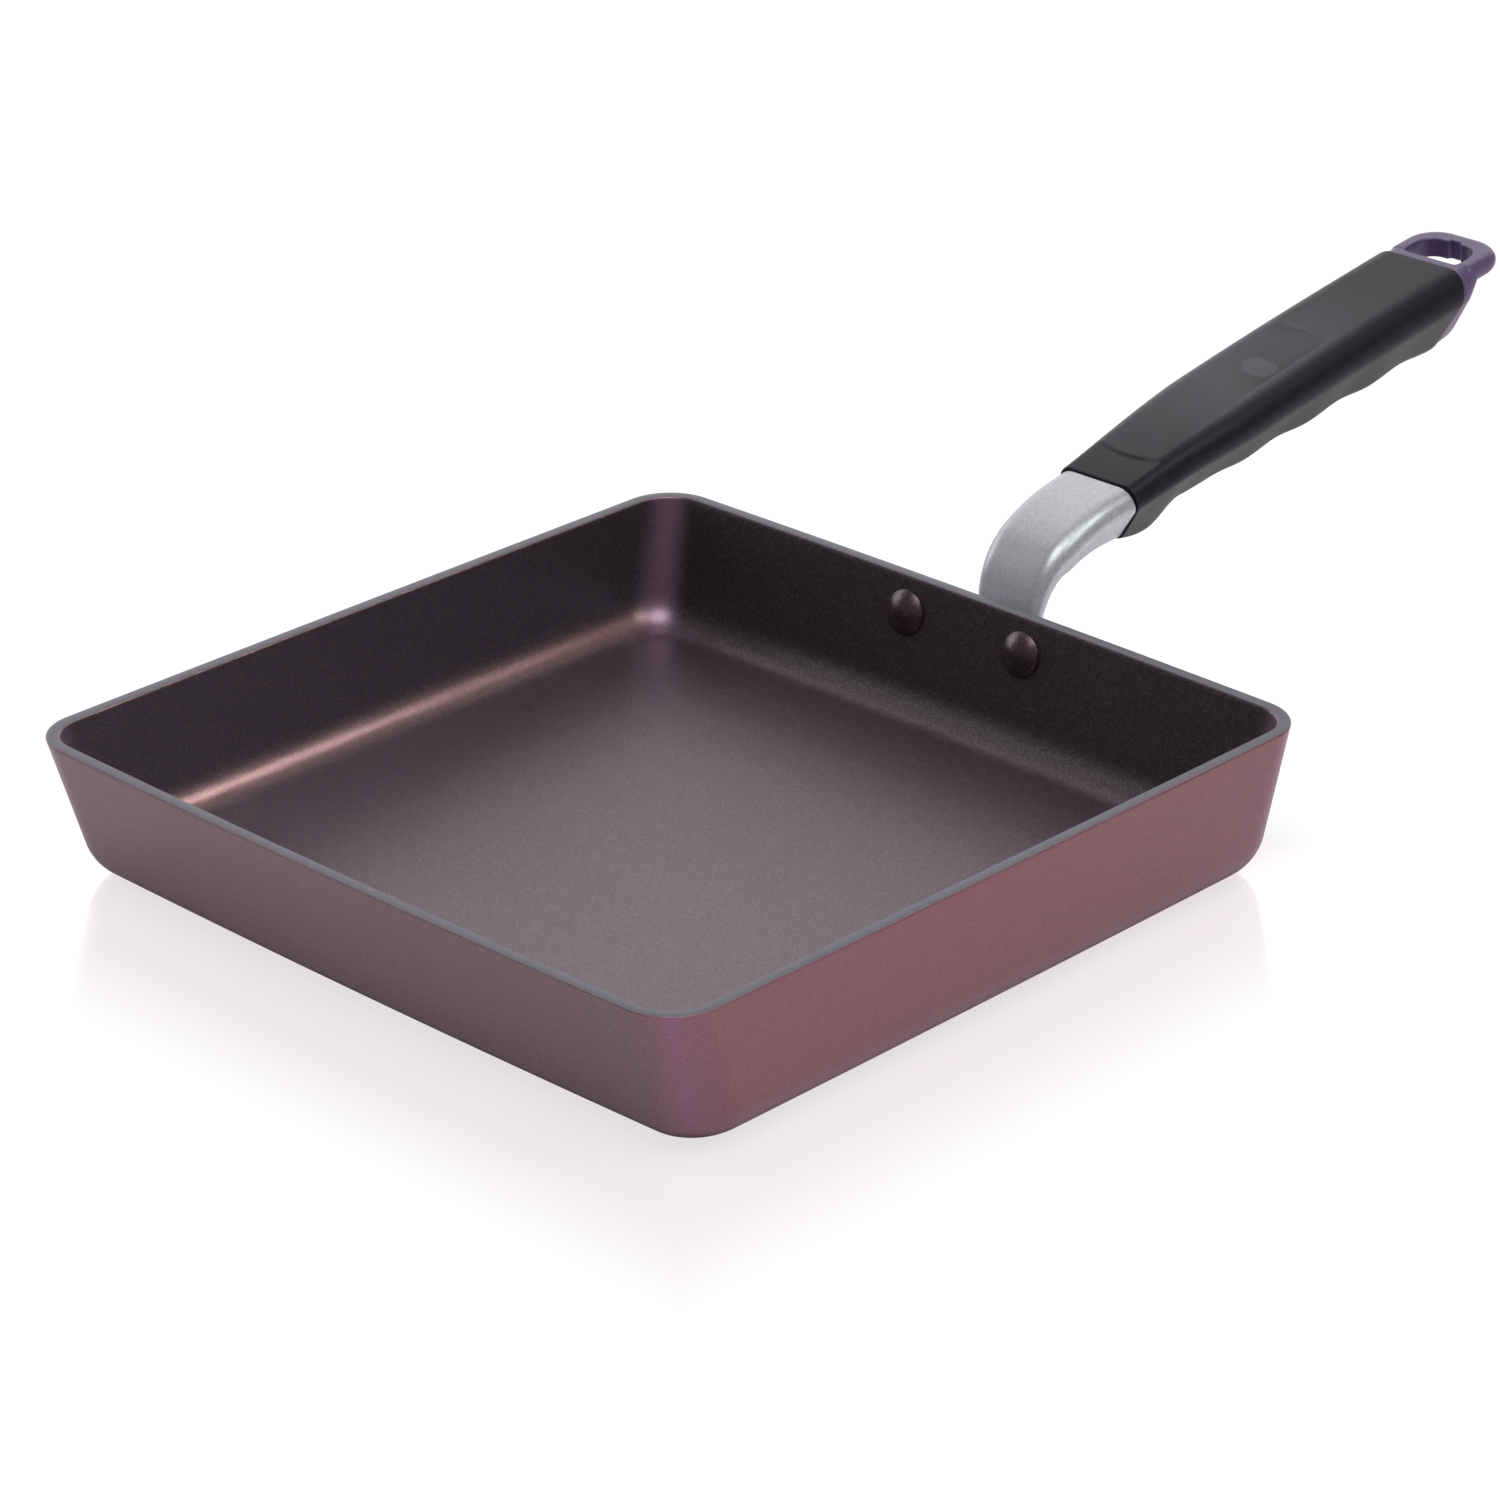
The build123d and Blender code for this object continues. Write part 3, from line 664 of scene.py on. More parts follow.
@dataclass
class PanShell:
    """The die-cast pan: leaning bowed walls, round corners, rounded floor and a ground rim."""

    length: float = 200.0
    width: float = 196.0
    height: float = 34.5
    rim_corner: float = 12.0
    base_corner: float = 14.0
    least_corner: float = 1.5
    base_edge: float = 10.5
    floor_edge: float = 8.5
    wall: float = 3.1
    floor: float = 4.0
    end_bow: float = 1.3
    side_bow: float = 0.3
    rim_round: float = 0.4
    front: Wall = field(default_factory=lambda: Wall(15.5))
    back: Wall = field(default_factory=lambda: Wall(12.0))
    side: Wall = field(default_factory=lambda: Wall(2.5))
    fillet_steps: int = 14
    corner_steps: int = 18
    side_steps: int = 24
    wall_shares: tuple[float, ...] = (0.04, 0.5, 0.96)
    rim_angles: tuple[float, ...] = (0, 30, 60, 90)

    def ring(self, front: Point, back: Point, side: Point, spare: float) -> Ring:
        """One ring of the pan.

        Args:
            front: out and height on the front wall, from the foot of the wall.
            back: the same on the handle wall.
            side: the same on the side walls.
            spare: how far the ring lies inside the wall's outer face, for its corners.

        Returns:
            The ring's points.
        """
        low = -self.length / 2 + self.front.out(self.height) - front[0]
        high = self.length / 2 - self.back.out(self.height) + back[0]
        half = self.width / 2 - self.side.out(self.height) + side[0]
        share = side[1] / self.height
        corner = max(self.least_corner, between(self.base_corner, self.rim_corner, share) - spare)
        near, far = low + self.end_bow, high - self.end_bow
        edge = half - self.side_bow
        outline = rounded(oblong(near, far, edge, corner, corner), self.corner_steps, self.side_steps)
        middle, reach = (near + far) / 2, (far - near) / 2
        ring = []
        for x, y in outline:
            along, across = (x - middle) / reach, y / edge
            end = back if along > 0 else front
            turn = self.facing(abs(along) * reach, abs(y), reach, edge, corner)
            place_x = x + math.copysign(self.end_bow * (1 - across ** 2) * abs(along), along)
            place_y = y + math.copysign(self.side_bow * (1 - along ** 2) * abs(across), across)
            ring.append(Vector((place_x, place_y, between(side[1], end[1], turn))))
        return ring

    def facing(self, x: float, y: float, reach: float, edge: float, corner: float) -> float:
        """How much a point of the outline faces along the handle: 1 on an end wall and 0 on a side wall."""
        over_x, over_y = max(0.0, x - reach + corner), max(0.0, y - edge + corner)
        if over_x == 0:
            return 0.0
        return over_x ** 2 / (over_x ** 2 + over_y ** 2)

    def rings(self) -> tuple[list[Ring], int, int]:
        """The rings from the base, up the outside, over the rim and down to the cooking floor.

        Returns:
            The rings, and the numbers of the first ring of the rim and of the first inside it.
        """
        walls = (self.front, self.back, self.side)
        top = self.height - self.rim_round
        rings: list[Ring] = []

        def level(heights: Sequence[float], inward: float) -> None:
            """Adds the ring at those heights of the three walls, that far inside their outer face."""
            points = [(wall.out(height) - inward, height) for wall, height in zip(walls, heights)]
            rings.append(self.ring(*points, inward))

        def fillet(paths: Sequence[Sequence[Point]], steps: Iterable[int]) -> None:
            """Adds the rings of a rounding."""
            for step in steps:
                front, back, side = (path[step] for path in paths)
                rings.append(self.ring(front, back, side, self.side.out(side[1]) - side[0]))

        def face(paths: Sequence[Sequence[Point]], shares: Iterable[float], inward: float) -> None:
            """Adds the rings of a wall's face, between its rounding and the rim."""
            for share in shares:
                level([between(path[-1][1], top, share) for path in paths], inward)

        outer = [wall.fillet(self.base_edge, self.fillet_steps) for wall in walls]
        fillet(outer, range(self.fillet_steps + 1))
        face(outer, self.wall_shares, 0.0)
        for angle in self.rim_angles:
            height = top + self.rim_round * sin_deg(angle)
            level([height] * len(walls), self.rim_round * (1 - cos_deg(angle)))
        rim = len(rings) - 1
        level([self.height] * len(walls), self.wall / 2)
        inside = len(rings)
        for angle in reversed(self.rim_angles):
            height = top + self.rim_round * sin_deg(angle)
            level([height] * len(walls), self.wall - self.rim_round * (1 - cos_deg(angle)))
        inner = []
        for wall in walls:
            foot = wall.out(self.floor) - self.wall
            path = wall.fillet(self.floor_edge, self.fillet_steps)
            inner.append([(out + foot, height + self.floor) for out, height in path])
        face(inner, reversed(self.wall_shares), self.wall)
        fillet(inner, range(self.fillet_steps, -1, -1))
        return rings, rim, inside

    def build(self) -> bpy.types.Object:
        """Builds the shell with its three finishes."""
        mesh = bmesh.new()
        rings, rim, inside = self.rings()
        first, last = skin(mesh, rings, lambda number: 0 if number < rim else 1 if number < inside else 2)
        cap(mesh, first, 0)
        cap(mesh, last, 2)
        finishes = [OUTSIDE.material(), RIM.material(), INSIDE.material()]
        return piece(mesh, "pan_shell", finishes, ["pan_body"])


@dataclass
class Rivets:
    """Two solid rivets through the handle wall and the flange."""

    spacing: float = 35.0
    height: float = 25.6
    head: float = 10.6
    head_rise: float = 2.7
    tail: float = 8.6
    tail_rise: float = 1.9
    lip: float = 0.5
    seat_gap: float = 0.1
    flange: float = 4.6
    shank: float = 5.0
    steps: int = 56
    dome_steps: int = 12

    def plane(self, pan: PanShell) -> Matrix:
        """The outside of the handle wall at the rivets' height, with Z pointing out of the pan."""
        lean = pan.back.lean
        out = (cos_deg(lean), 0, -sin_deg(lean))
        origin = (pan.length / 2 - pan.back.out(pan.height - self.height), 0, self.height)
        return frame_matrix(origin, (0, 1, 0), out)

    def dome(self, diameter: float, rise: float) -> list[Point]:
        """A domed head's profile, from its rim to its top."""
        half, high = diameter / 2, rise - self.lip
        ball = (half ** 2 + high ** 2) / (2 * high)
        reach = math.degrees(math.asin(half / ball))
        angles = spread(reach, 0, self.dome_steps)
        return [(ball * sin_deg(angle), rise - ball + ball * cos_deg(angle)) for angle in angles]

    def build(self, pan: PanShell) -> None:
        """Builds both rivets, each with a coated head inside and a silver formed end outside."""
        inner = pan.wall * cos_deg(pan.back.lean) + self.seat_gap
        outer = self.seat_gap + self.flange + self.seat_gap
        tail = [(self.shank / 2, outer), (self.tail / 2, outer)]
        tail += [(radius, height + outer) for radius, height in self.dome(self.tail, self.tail_rise)]
        head = [(radius, -inner - height) for radius, height in self.dome(self.head, self.head_rise)]
        head += [(self.head / 2, -inner), (self.shank / 2, -inner)]
        profile = head[:self.dome_steps + 1][::-1] + head[self.dome_steps + 1:]
        finishes = [HEADS.material(), SILVER.material()]
        for name, side in (("flange_rivet_right", -1), ("flange_rivet_left", 1)):
            mesh = turned(profile + tail, self.steps)
            for face in mesh.faces:
                face.material_index = int(face.calc_center_median().z > 0)
            place = self.plane(pan) @ Matrix.Translation((side * self.spacing / 2, 0, 0))
            piece(mesh, name + "_set", finishes, [name], place)


# The handle


def along_knots(knots: Sequence[Point], place: float) -> float:
    """A smooth curve through knots of place and value, read at a place.

    Args:
        knots: places in rising order with their values.
        place: where it is read, from the first knot to the last.

    Returns:
        The value there.
    """
    last = len(knots) - 1
    number = max(i for i in range(last) if knots[i][0] <= place or i == 0)
    (low, start), (high, end) = knots[number], knots[number + 1]
    before, after = knots[max(0, number - 1)], knots[min(last, number + 2)]
    rise_in = (end - before[1]) / (high - before[0])
    rise_out = (after[1] - start) / (after[0] - low)
    run = high - low
    share = (place - low) / run
    back = 1 - share
    value = start * (1 + 2 * share) * back ** 2 + end * (3 - 2 * share) * share ** 2
    return value + rise_in * run * share * back ** 2 - rise_out * run * share ** 2 * back


# How much of an inset comes off half the flat top, half the underside and each radius
TOP_SHARE, LOW_SHARE, ROUND_SHARE = 0.7, 0.5, 0.6
LEAST_RADIUS = 0.3
# Radius of a slot's ends by half its height: a little less, so that each end keeps a short straight
NEARLY_ROUND = 0.999


@dataclass
class Section:
    """A six-sided section with round corners, hung from its flat top.

    The sides stand out by the bulge a third of the way down, and draw in to a narrower underside. The
    radii are those of the upper, widest and lowest corners.
    """

    top_width: float
    bulge: float
    low_width: float
    depth: float
    radii: Corner
    drop_share: float = 0.33

    def blend(self, other: "Section", share: float, deep: float | None = None) -> "Section":
        """The section a share of the way to another, with a depth of its own if one is given."""
        radii = [between(one, two, share) for one, two in zip(self.radii, other.radii)]
        return Section(between(self.top_width, other.top_width, share),
                       between(self.bulge, other.bulge, share),
                       between(self.low_width, other.low_width, share),
                       between(self.depth, other.depth, share) if deep is None else deep,
                       (radii[0], radii[1], radii[2]))

    def points(self, arc_steps: int, side_steps: int, inset: float = 0.0, lift: float = 0.0,
               steady: float | None = None) -> list[Point]:
        """The outline as across and up.

        Args:
            arc_steps: runs along each corner's arc.
            side_steps: runs along each side.
            inset: how far the outline is drawn in.
            lift: height of the flat top.
            steady: the depth that sets the widest line, where it isn't the section's own.

        Returns:
            The points.
        """
        half = self.top_width / 2 - inset * TOP_SHARE
        low = self.low_width / 2 - inset * LOW_SHARE
        wide = self.top_width / 2 + self.bulge - inset
        top, bottom = lift - inset, lift - self.depth + inset
        level = lift - (self.depth if steady is None else steady) * self.drop_share
        upper, middle, lower = (max(LEAST_RADIUS, radius - inset * ROUND_SHARE) for radius in self.radii)
        corners = [(-half, top, upper), (half, top, upper), (wide, level, middle), (low, bottom, lower),
                   (-low, bottom, lower), (-wide, level, middle)]
        return rounded(corners, arc_steps, side_steps)


@dataclass
class Grip:
    """The sculpted grip: its own frame, the sleeve's form, its cut ends, and the collar by the thumb arc."""

    length: float = 124.0
    slope: float = 9.5
    start: float = 141.0
    start_height: float = 52.2
    crown: float = 1.1
    front_dip: float = 0.8
    dip_length: float = 24.0
    front: Section = field(default_factory=lambda: Section(21.2, 1.7, 11.4, 16.2, (4.2, 2.9, 3.4)))
    rear: Section = field(default_factory=lambda: Section(26.4, 1.6, 13.6, 20.5, (5.6, 4.6, 6.0)))
    swell_run: float = 46.0
    swell_lift: float = 0.7
    guard_depth: float = 18.2
    guard_place: float = 8.5
    throat_depth: float = 14.7
    throat_place: float = 20.0
    finger_pitch: float = 24.4
    finger_wave: float = 0.55
    first_crest: float = 43.5
    end_slant: float = 18.0
    arc_place: float = 35.0
    arc_radius: float = 24.0
    collar_step: float = 1.1
    collar_pitch: float = 4.4
    step_run: float = 1.2
    front_round: float = 0.3
    rear_round: float = 0.8
    wall: float = 2.4
    socket: float = 3.0
    least_run: float = 0.1
    front_angles: tuple[float, ...] = (90, 60, 30)
    rear_angles: tuple[float, ...] = (75, 60, 45, 30, 15, 0)
    front_steps: int = 80
    rear_steps: int = 90
    sharp: float = 30.0
    arc_steps: int = 8
    side_steps: int = 16

    def plane(self) -> Matrix:
        """The grip's own frame: X along the line of the grip from the front face, Z square to it."""
        along = (cos_deg(self.slope), 0, sin_deg(self.slope))
        square = (-sin_deg(self.slope), 0, cos_deg(self.slope))
        return frame_matrix((self.start, 0, self.start_height), along, square)

    def top(self, place: float) -> float:
        """Height of the top: a gentle crown, with a dip at the front to meet the neck."""
        dip = max(0.0, 1 - place / self.dip_length)
        swell = self.swell_lift * ease(0, self.swell_run, place)
        return self.crown * sin_deg(180 * min(1.0, place / self.length)) - self.front_dip * dip ** 2 + swell

    def depth(self, place: float) -> float:
        """Depth of the underside: front guard, throat, then finger waves on a steady taper."""
        if place <= self.guard_place:
            share = sin_deg(90 * max(0.0, place) / self.guard_place)
            return between(self.front.depth, self.guard_depth, share)
        if place <= self.throat_place:
            share = (place - self.guard_place) / (self.throat_place - self.guard_place)
            return between(self.guard_depth, self.throat_depth, (1 - cos_deg(180 * share)) / 2)
        share = (place - self.throat_place) / (self.length - self.throat_place)
        wave = self.finger_wave * cos_deg(360 * (place - self.first_crest) / self.finger_pitch)
        fade = min(1.0, (place - self.throat_place) / (self.first_crest - self.throat_place))
        return between(self.throat_depth, self.rear.depth, share) + wave * fade

    def section(self, place: float, inset: float = 0.0) -> list[Point]:
        """The sleeve's outline at a place along it, or drawn in by inset on every side."""
        top = self.top(place)
        steady = between(self.front.depth, self.rear.depth, min(1.0, max(0.0, place / self.length))) + top
        shape = self.front.blend(self.rear, ease(0, self.swell_run, place), self.depth(place) + top)
        return shape.points(self.arc_steps, self.side_steps, inset, top, steady)

    def collar_drop(self, place: float, across: float, up: float, inset: float) -> float:
        """How far a point is let down to the collar's flat in front of the thumb arc."""
        if place >= self.arc_place:
            return 0.0
        plane = place * tan_deg(self.collar_pitch) - self.collar_step - inset
        away = math.hypot(place - self.arc_place, across) - self.arc_radius
        return max(0.0, up - plane) * ease(0, self.step_run, away)

    def rear_run(self, place: float, up: float) -> float:
        """How much further forward a low point near the rear lies, for the slanted cut."""
        slant = -up * tan_deg(self.end_slant)
        return slant * ease(self.length - self.finger_pitch, self.length, place)

    def ring(self, place: float, inset: float = 0.0) -> Ring:
        """One ring of the sleeve's outside, with the collar and the slanted end worked in."""
        ring = []
        for number, (across, up) in enumerate(self.section(place, inset)):
            x = place - self.rear_run(place, up)
            if x < place - self.least_run:
                across, up = self.section(x, inset)[number]
            ring.append(Vector((x, across, up - self.collar_drop(x, across, up, inset))))
        return ring

    def places(self) -> list[float]:
        """Places of the rings along the sleeve, close together over the thumb arc and the guard."""
        front = spread(self.front_round, self.throat_place, self.front_steps)
        return front + spread(self.throat_place, self.length - self.rear_round, self.rear_steps)[1:]

    def rings(self) -> list[Ring]:
        """The rings from the front face, along the outside and round the rear edge into the sleeve."""
        rings = []
        for angle in self.front_angles:
            x = self.front_round * (1 - sin_deg(angle))
            ring = self.ring(self.front_round, self.front_round * (1 - cos_deg(angle)))
            rings.append([Vector((x, point.y, point.z)) for point in ring])
        rings += [self.ring(place) for place in self.places()]
        for angle in self.rear_angles:
            place = self.length - self.rear_round + self.rear_round * cos_deg(angle)
            rings.append(self.ring(place, self.rear_round * (1 - sin_deg(angle))))
        rings.append(self.ring(self.length, self.wall))
        rings.append(self.ring(self.length - self.socket, self.wall))
        return rings

    def build(self, well: "Fastening") -> bpy.types.Object:
        """Builds the sleeve, with the screw's well cut into its underside."""
        shaped = carve(closed(bmesh.new(), self.rings()), [(well.bore(), "DIFFERENCE")])
        return piece(shaped, "grip_cover", [BLACK.material()], ["grip_sleeve"], self.plane(),
                     self.sharp)


@dataclass
class Neck:
    """The cast gooseneck: flange, low bend, upright run, and the long bend that runs into the grip.

    Its stations hang from the line along the middle of its upper face, which is worked back from the grip.
    """

    standoff: float = 9.4
    root_top: float = 24.2
    riser: float = 0.4
    tight_radius: float = 19.0
    easy_radius: float = 50.0
    change: float = 30.0
    root: Section = field(default_factory=lambda: Section(21.4, 1.3, 21.4, 5.4, (2.4, 1.3, 1.6)))
    waist: Section = field(default_factory=lambda: Section(16.0, 1.3, 16.0, 4.6, (3.0, 1.3, 1.6)))
    top: Section = field(default_factory=lambda: Section(20.5, 1.6, 10.25, 14.4, (4.5, 2.6, 3.0)))
    bend_share: float = 0.92
    growth: float = 0.8
    sink: float = 1.45
    joint: float = 0.3
    end_round: float = 0.25
    flange_length: float = 52.0
    flange_height: float = 14.0
    flange_thickness: float = 4.6
    flange_round: float = 1.3
    flange_edge: float = 0.3
    flange_gap: float = 0.1
    flare: float = 2.6
    flare_depth: float = 1.6
    flare_lift: float = 0.8
    embed: float = 0.3
    flare_steps: int = 8
    low_steps: int = 20
    tight_steps: int = 36
    easy_steps: int = 16
    run_steps: int = 14
    edge_steps: int = 6
    slot_steps: tuple[int, int] = (14, 6)
    end_angles: tuple[float, ...] = (60, 30, 0)
    arc_steps: int = 6
    side_steps: int = 12

    def stations(self, pan: PanShell, grip: Grip) -> list[tuple[Vector, float, Section]]:
        """Points of the upper line, headings in degrees and sections, from the flange to the grip."""
        end = grip.plane() @ Vector((-self.joint, 0, -self.sink))
        riser_x = pan.length / 2 + self.standoff
        easy = self.easy_radius * (sin_deg(self.change) - sin_deg(grip.slope))
        run_x = riser_x + self.tight_radius * (1 - sin_deg(self.change)) + easy
        run_z = end.z - (end.x - run_x) * tan_deg(grip.slope)
        riser_top = run_z - self.easy_radius * (cos_deg(grip.slope) - cos_deg(self.change))
        riser_top -= self.tight_radius * cos_deg(self.change)
        foot = riser_top - self.riser
        low_bend = foot - self.root_top
        wall_x = pan.length / 2 - pan.back.out(pan.height - self.root_top)
        stations: list[tuple[Vector, float, Section]] = []
        for angle in spread(0, 90, self.flare_steps):
            grow = self.flare * (1 - sin_deg(angle))
            x = wall_x + self.flange_thickness - self.embed + self.flare * (1 - cos_deg(angle))
            wide = Section(self.root.top_width + grow * 2, self.root.bulge, self.root.low_width + grow * 2,
                           self.root.depth + grow * self.flare_depth, self.root.radii)
            stations.append((Vector((x, 0, self.root_top + grow * self.flare_lift)), 0.0, wide))
        for angle in spread(0, 90, self.low_steps):
            x = riser_x - low_bend + low_bend * sin_deg(angle)
            z = foot - low_bend * cos_deg(angle)
            stations.append((Vector((x, 0, z)), angle, self.root.blend(self.waist, angle / 90)))
        easy_angles = spread(self.change, grip.slope, self.easy_steps)[1:]
        for angle in spread(90, self.change, self.tight_steps) + easy_angles:
            grown = self.bend_share * ((90 - angle) / (90 - grip.slope)) ** self.growth
            tight = max(angle, self.change)
            x = riser_x + self.tight_radius * (1 - sin_deg(tight))
            z = riser_top + self.tight_radius * cos_deg(tight)
            if angle < self.change:
                x += self.easy_radius * (sin_deg(self.change) - sin_deg(angle))
                z += self.easy_radius * (cos_deg(angle) - cos_deg(self.change))
            stations.append((Vector((x, 0, z)), angle, self.waist.blend(self.top, grown)))
        start = stations[-1][0]
        stop = end - (end - start).normalized() * self.end_round
        for share in spread(0, 1, self.run_steps)[1:]:
            stations.append((start.lerp(stop, share), grip.slope,
                             self.waist.blend(self.top, between(self.bend_share, 1, share))))
        return stations

    def ring(self, place: Vector, heading: float, section: Section, inset: float = 0.0) -> Ring:
        """A ring of the neck, square to its heading."""
        up = Vector((-sin_deg(heading), 0, cos_deg(heading)))
        return [place + Vector((0, across, 0)) + up * rise
                for across, rise in section.points(self.arc_steps, self.side_steps, inset)]

    def flange(self, mesh: Mesh, plane: Matrix) -> None:
        """Adds the flange: a slot-shaped plate with a rounded outer edge and a broad flat back."""
        half_long, half_high = self.flange_length / 2, self.flange_height / 2
        rings: list[Ring] = []
        levels = [(self.flange_edge, 0.0), (0.0, self.flange_edge)]
        levels += [(self.flange_round * (1 - cos_deg(angle)),
                    self.flange_thickness - self.flange_round * (1 - sin_deg(angle)))
                   for angle in spread(0, 90, self.edge_steps)]
        for inset, height in levels:
            long, high = half_long - inset, half_high - inset
            radius = high * NEARLY_ROUND
            outline = rounded(oblong(-long, long, high, radius, radius), *self.slot_steps)
            rings.append([plane @ point for point in level_at(height + self.flange_gap, outline)])
        closed(mesh, rings)

    def build(self, pan: PanShell, rivets: Rivets, grip: Grip) -> bpy.types.Object:
        """Builds the bracket that shows: flange and neck."""
        stations = self.stations(pan, grip)
        rings = [self.ring(*station) for station in stations]
        place, heading, section = stations[-1]
        ahead = Vector((cos_deg(heading), 0, sin_deg(heading)))
        for angle in self.end_angles:
            inset = self.end_round * (1 - sin_deg(angle))
            rings.append(self.ring(place + ahead * self.end_round * cos_deg(angle), heading, section, inset))
        mesh = closed(bmesh.new(), rings)
        self.flange(mesh, rivets.plane(pan))
        return piece(mesh, "gooseneck", [SILVER.material()], ["neck_bracket"])


@dataclass
class HandleEnd:
    """The purple end: heel behind the sleeve, and the hanging loop with its hook notch."""

    length: float = 19.0
    width: float = 25.0
    thickness: float = 5.0
    drop: float = 0.35
    follow: float = 0.5
    edge: float = 0.8
    corner: float = 8.0
    droop: float = 3.0
    root: float = 4.0
    hole_start: float = 3.4
    hole_length: float = 9.8
    hole_width: float = 16.4
    near_radius: float = 1.4
    far_radius: float = 5.0
    notch_width: float = 3.6
    notch_depth: float = 1.1
    inset: float = 0.45
    heel_places: tuple[float, ...] = (4.0, 7.0, 9.5)
    heel_depths: tuple[float, ...] = (15.6, 9.8, 5.6)
    heel_widths: tuple[float, ...] = (0.95, 0.92, 0.90)
    heel_rounding: float = 0.8
    heel_taper: float = 0.54
    heel_gap: float = 0.5
    root_radius: float = 0.2
    notch_mouth: float = 0.5
    notch_round: float = 0.6
    hidden_steps: int = 8
    heel_steps: int = 12
    edge_steps: int = 12
    loop_steps: tuple[int, int] = (10, 6)
    hole_steps: tuple[int, int] = (8, 2)
    voxel: float = 0.26
    smoothing: int = 5
    sharp: float = 180.0

    def loop_place(self, grip: Grip) -> Matrix:
        """The loop's own frame inside the grip's."""
        turn = Matrix.Rotation(math.radians(self.droop), 4, "Y")
        return Matrix.Translation((grip.length, 0, self.lift(grip) - self.drop)) @ turn

    def lift(self, grip: Grip) -> float:
        """How far the sleeve's end stands above the line of the grip, as far as the loop follows it."""
        return grip.top(grip.length) * self.follow

    def heel(self, grip: Grip) -> Mesh:
        """The heel as a loft from inside the sleeve to under the loop."""
        reach = grip.finger_pitch / 2
        rings = [across_at(place, grip.section(place, self.inset))
                 for place in spread(grip.length - reach, grip.length - self.heel_gap, self.hidden_steps)]
        depths = [(-reach, grip.depth(grip.length - reach)), (0.0, grip.depth(grip.length))]
        depths += list(zip(self.heel_places, self.heel_depths))
        widths = [(-reach, 1.0), (0.0, 1.0)] + list(zip(self.heel_places, self.heel_widths))
        for place in spread(0.0, self.heel_places[-1], self.heel_steps)[1:]:
            deep = along_knots(depths, place) - self.inset * 2
            share = deep / grip.rear.depth
            width = (grip.rear.top_width - self.inset * 2) * along_knots(widths, place)
            rounding = share * between(1.0, self.heel_rounding, min(1.0, place / self.heel_places[0]))
            upper, middle, lower = (radius * rounding for radius in grip.rear.radii)
            low_width = width * self.heel_taper
            shape = Section(width, grip.rear.bulge * share, low_width, deep, (upper, middle, lower))
            lift = self.lift(grip) - self.inset - place * tan_deg(self.droop)
            outline = shape.points(grip.arc_steps, grip.side_steps, 0.0, lift)
            rings.append(across_at(grip.length + place, outline))
        return closed(bmesh.new(), rings)

    def slab(self, grip: Grip) -> Mesh:
        """The loop as a slab with well rounded edges."""
        rings: list[Ring] = []
        half_thick = self.thickness / 2
        for angle in spread(-90, 90, self.edge_steps):
            inset = half_thick * self.edge * (1 - cos_deg(angle))
            up = -half_thick + half_thick * sin_deg(angle)
            outline = oblong(self.root, self.length - inset, self.width / 2 - inset,
                             self.root_radius, self.corner - inset / 2)
            rings.append(level_at(up, rounded(outline, *self.loop_steps)))
        mesh = closed(bmesh.new(), rings)
        mesh.transform(self.loop_place(grip))
        return mesh

    def hole(self, grip: Grip) -> Mesh:
        """The cutter for the D-shaped hole and its hook notch."""
        start, end = self.hole_start, self.hole_start + self.hole_length
        half, notch = self.hole_width / 2, self.notch_width / 2
        tip = end + self.notch_depth
        upper = [(start, half, self.near_radius), (end, half, self.far_radius),
                 (end, notch, self.notch_mouth), (tip, notch, self.notch_round)]
        lower = [(x, -across, radius) for x, across, radius in upper]
        points = rounded(lower + upper[::-1], *self.hole_steps)
        reach = grip.rear.depth * 2
        mesh = closed(bmesh.new(), [level_at(up, points) for up in (reach, -reach)])
        mesh.transform(self.loop_place(grip))
        return mesh

    def build(self, grip: Grip) -> bpy.types.Object:
        """Joins heel and loop, cuts the hole, and rounds every edge as a moulding has it."""
        steps = [(self.slab(grip), "UNION"), (self.hole(grip), "DIFFERENCE")]
        mesh = carve(self.heel(grip), steps, self.voxel, self.smoothing)
        return piece(mesh, "handle_end", [PURPLE.material()], ["handle_core"], grip.plane(),
                     self.sharp)


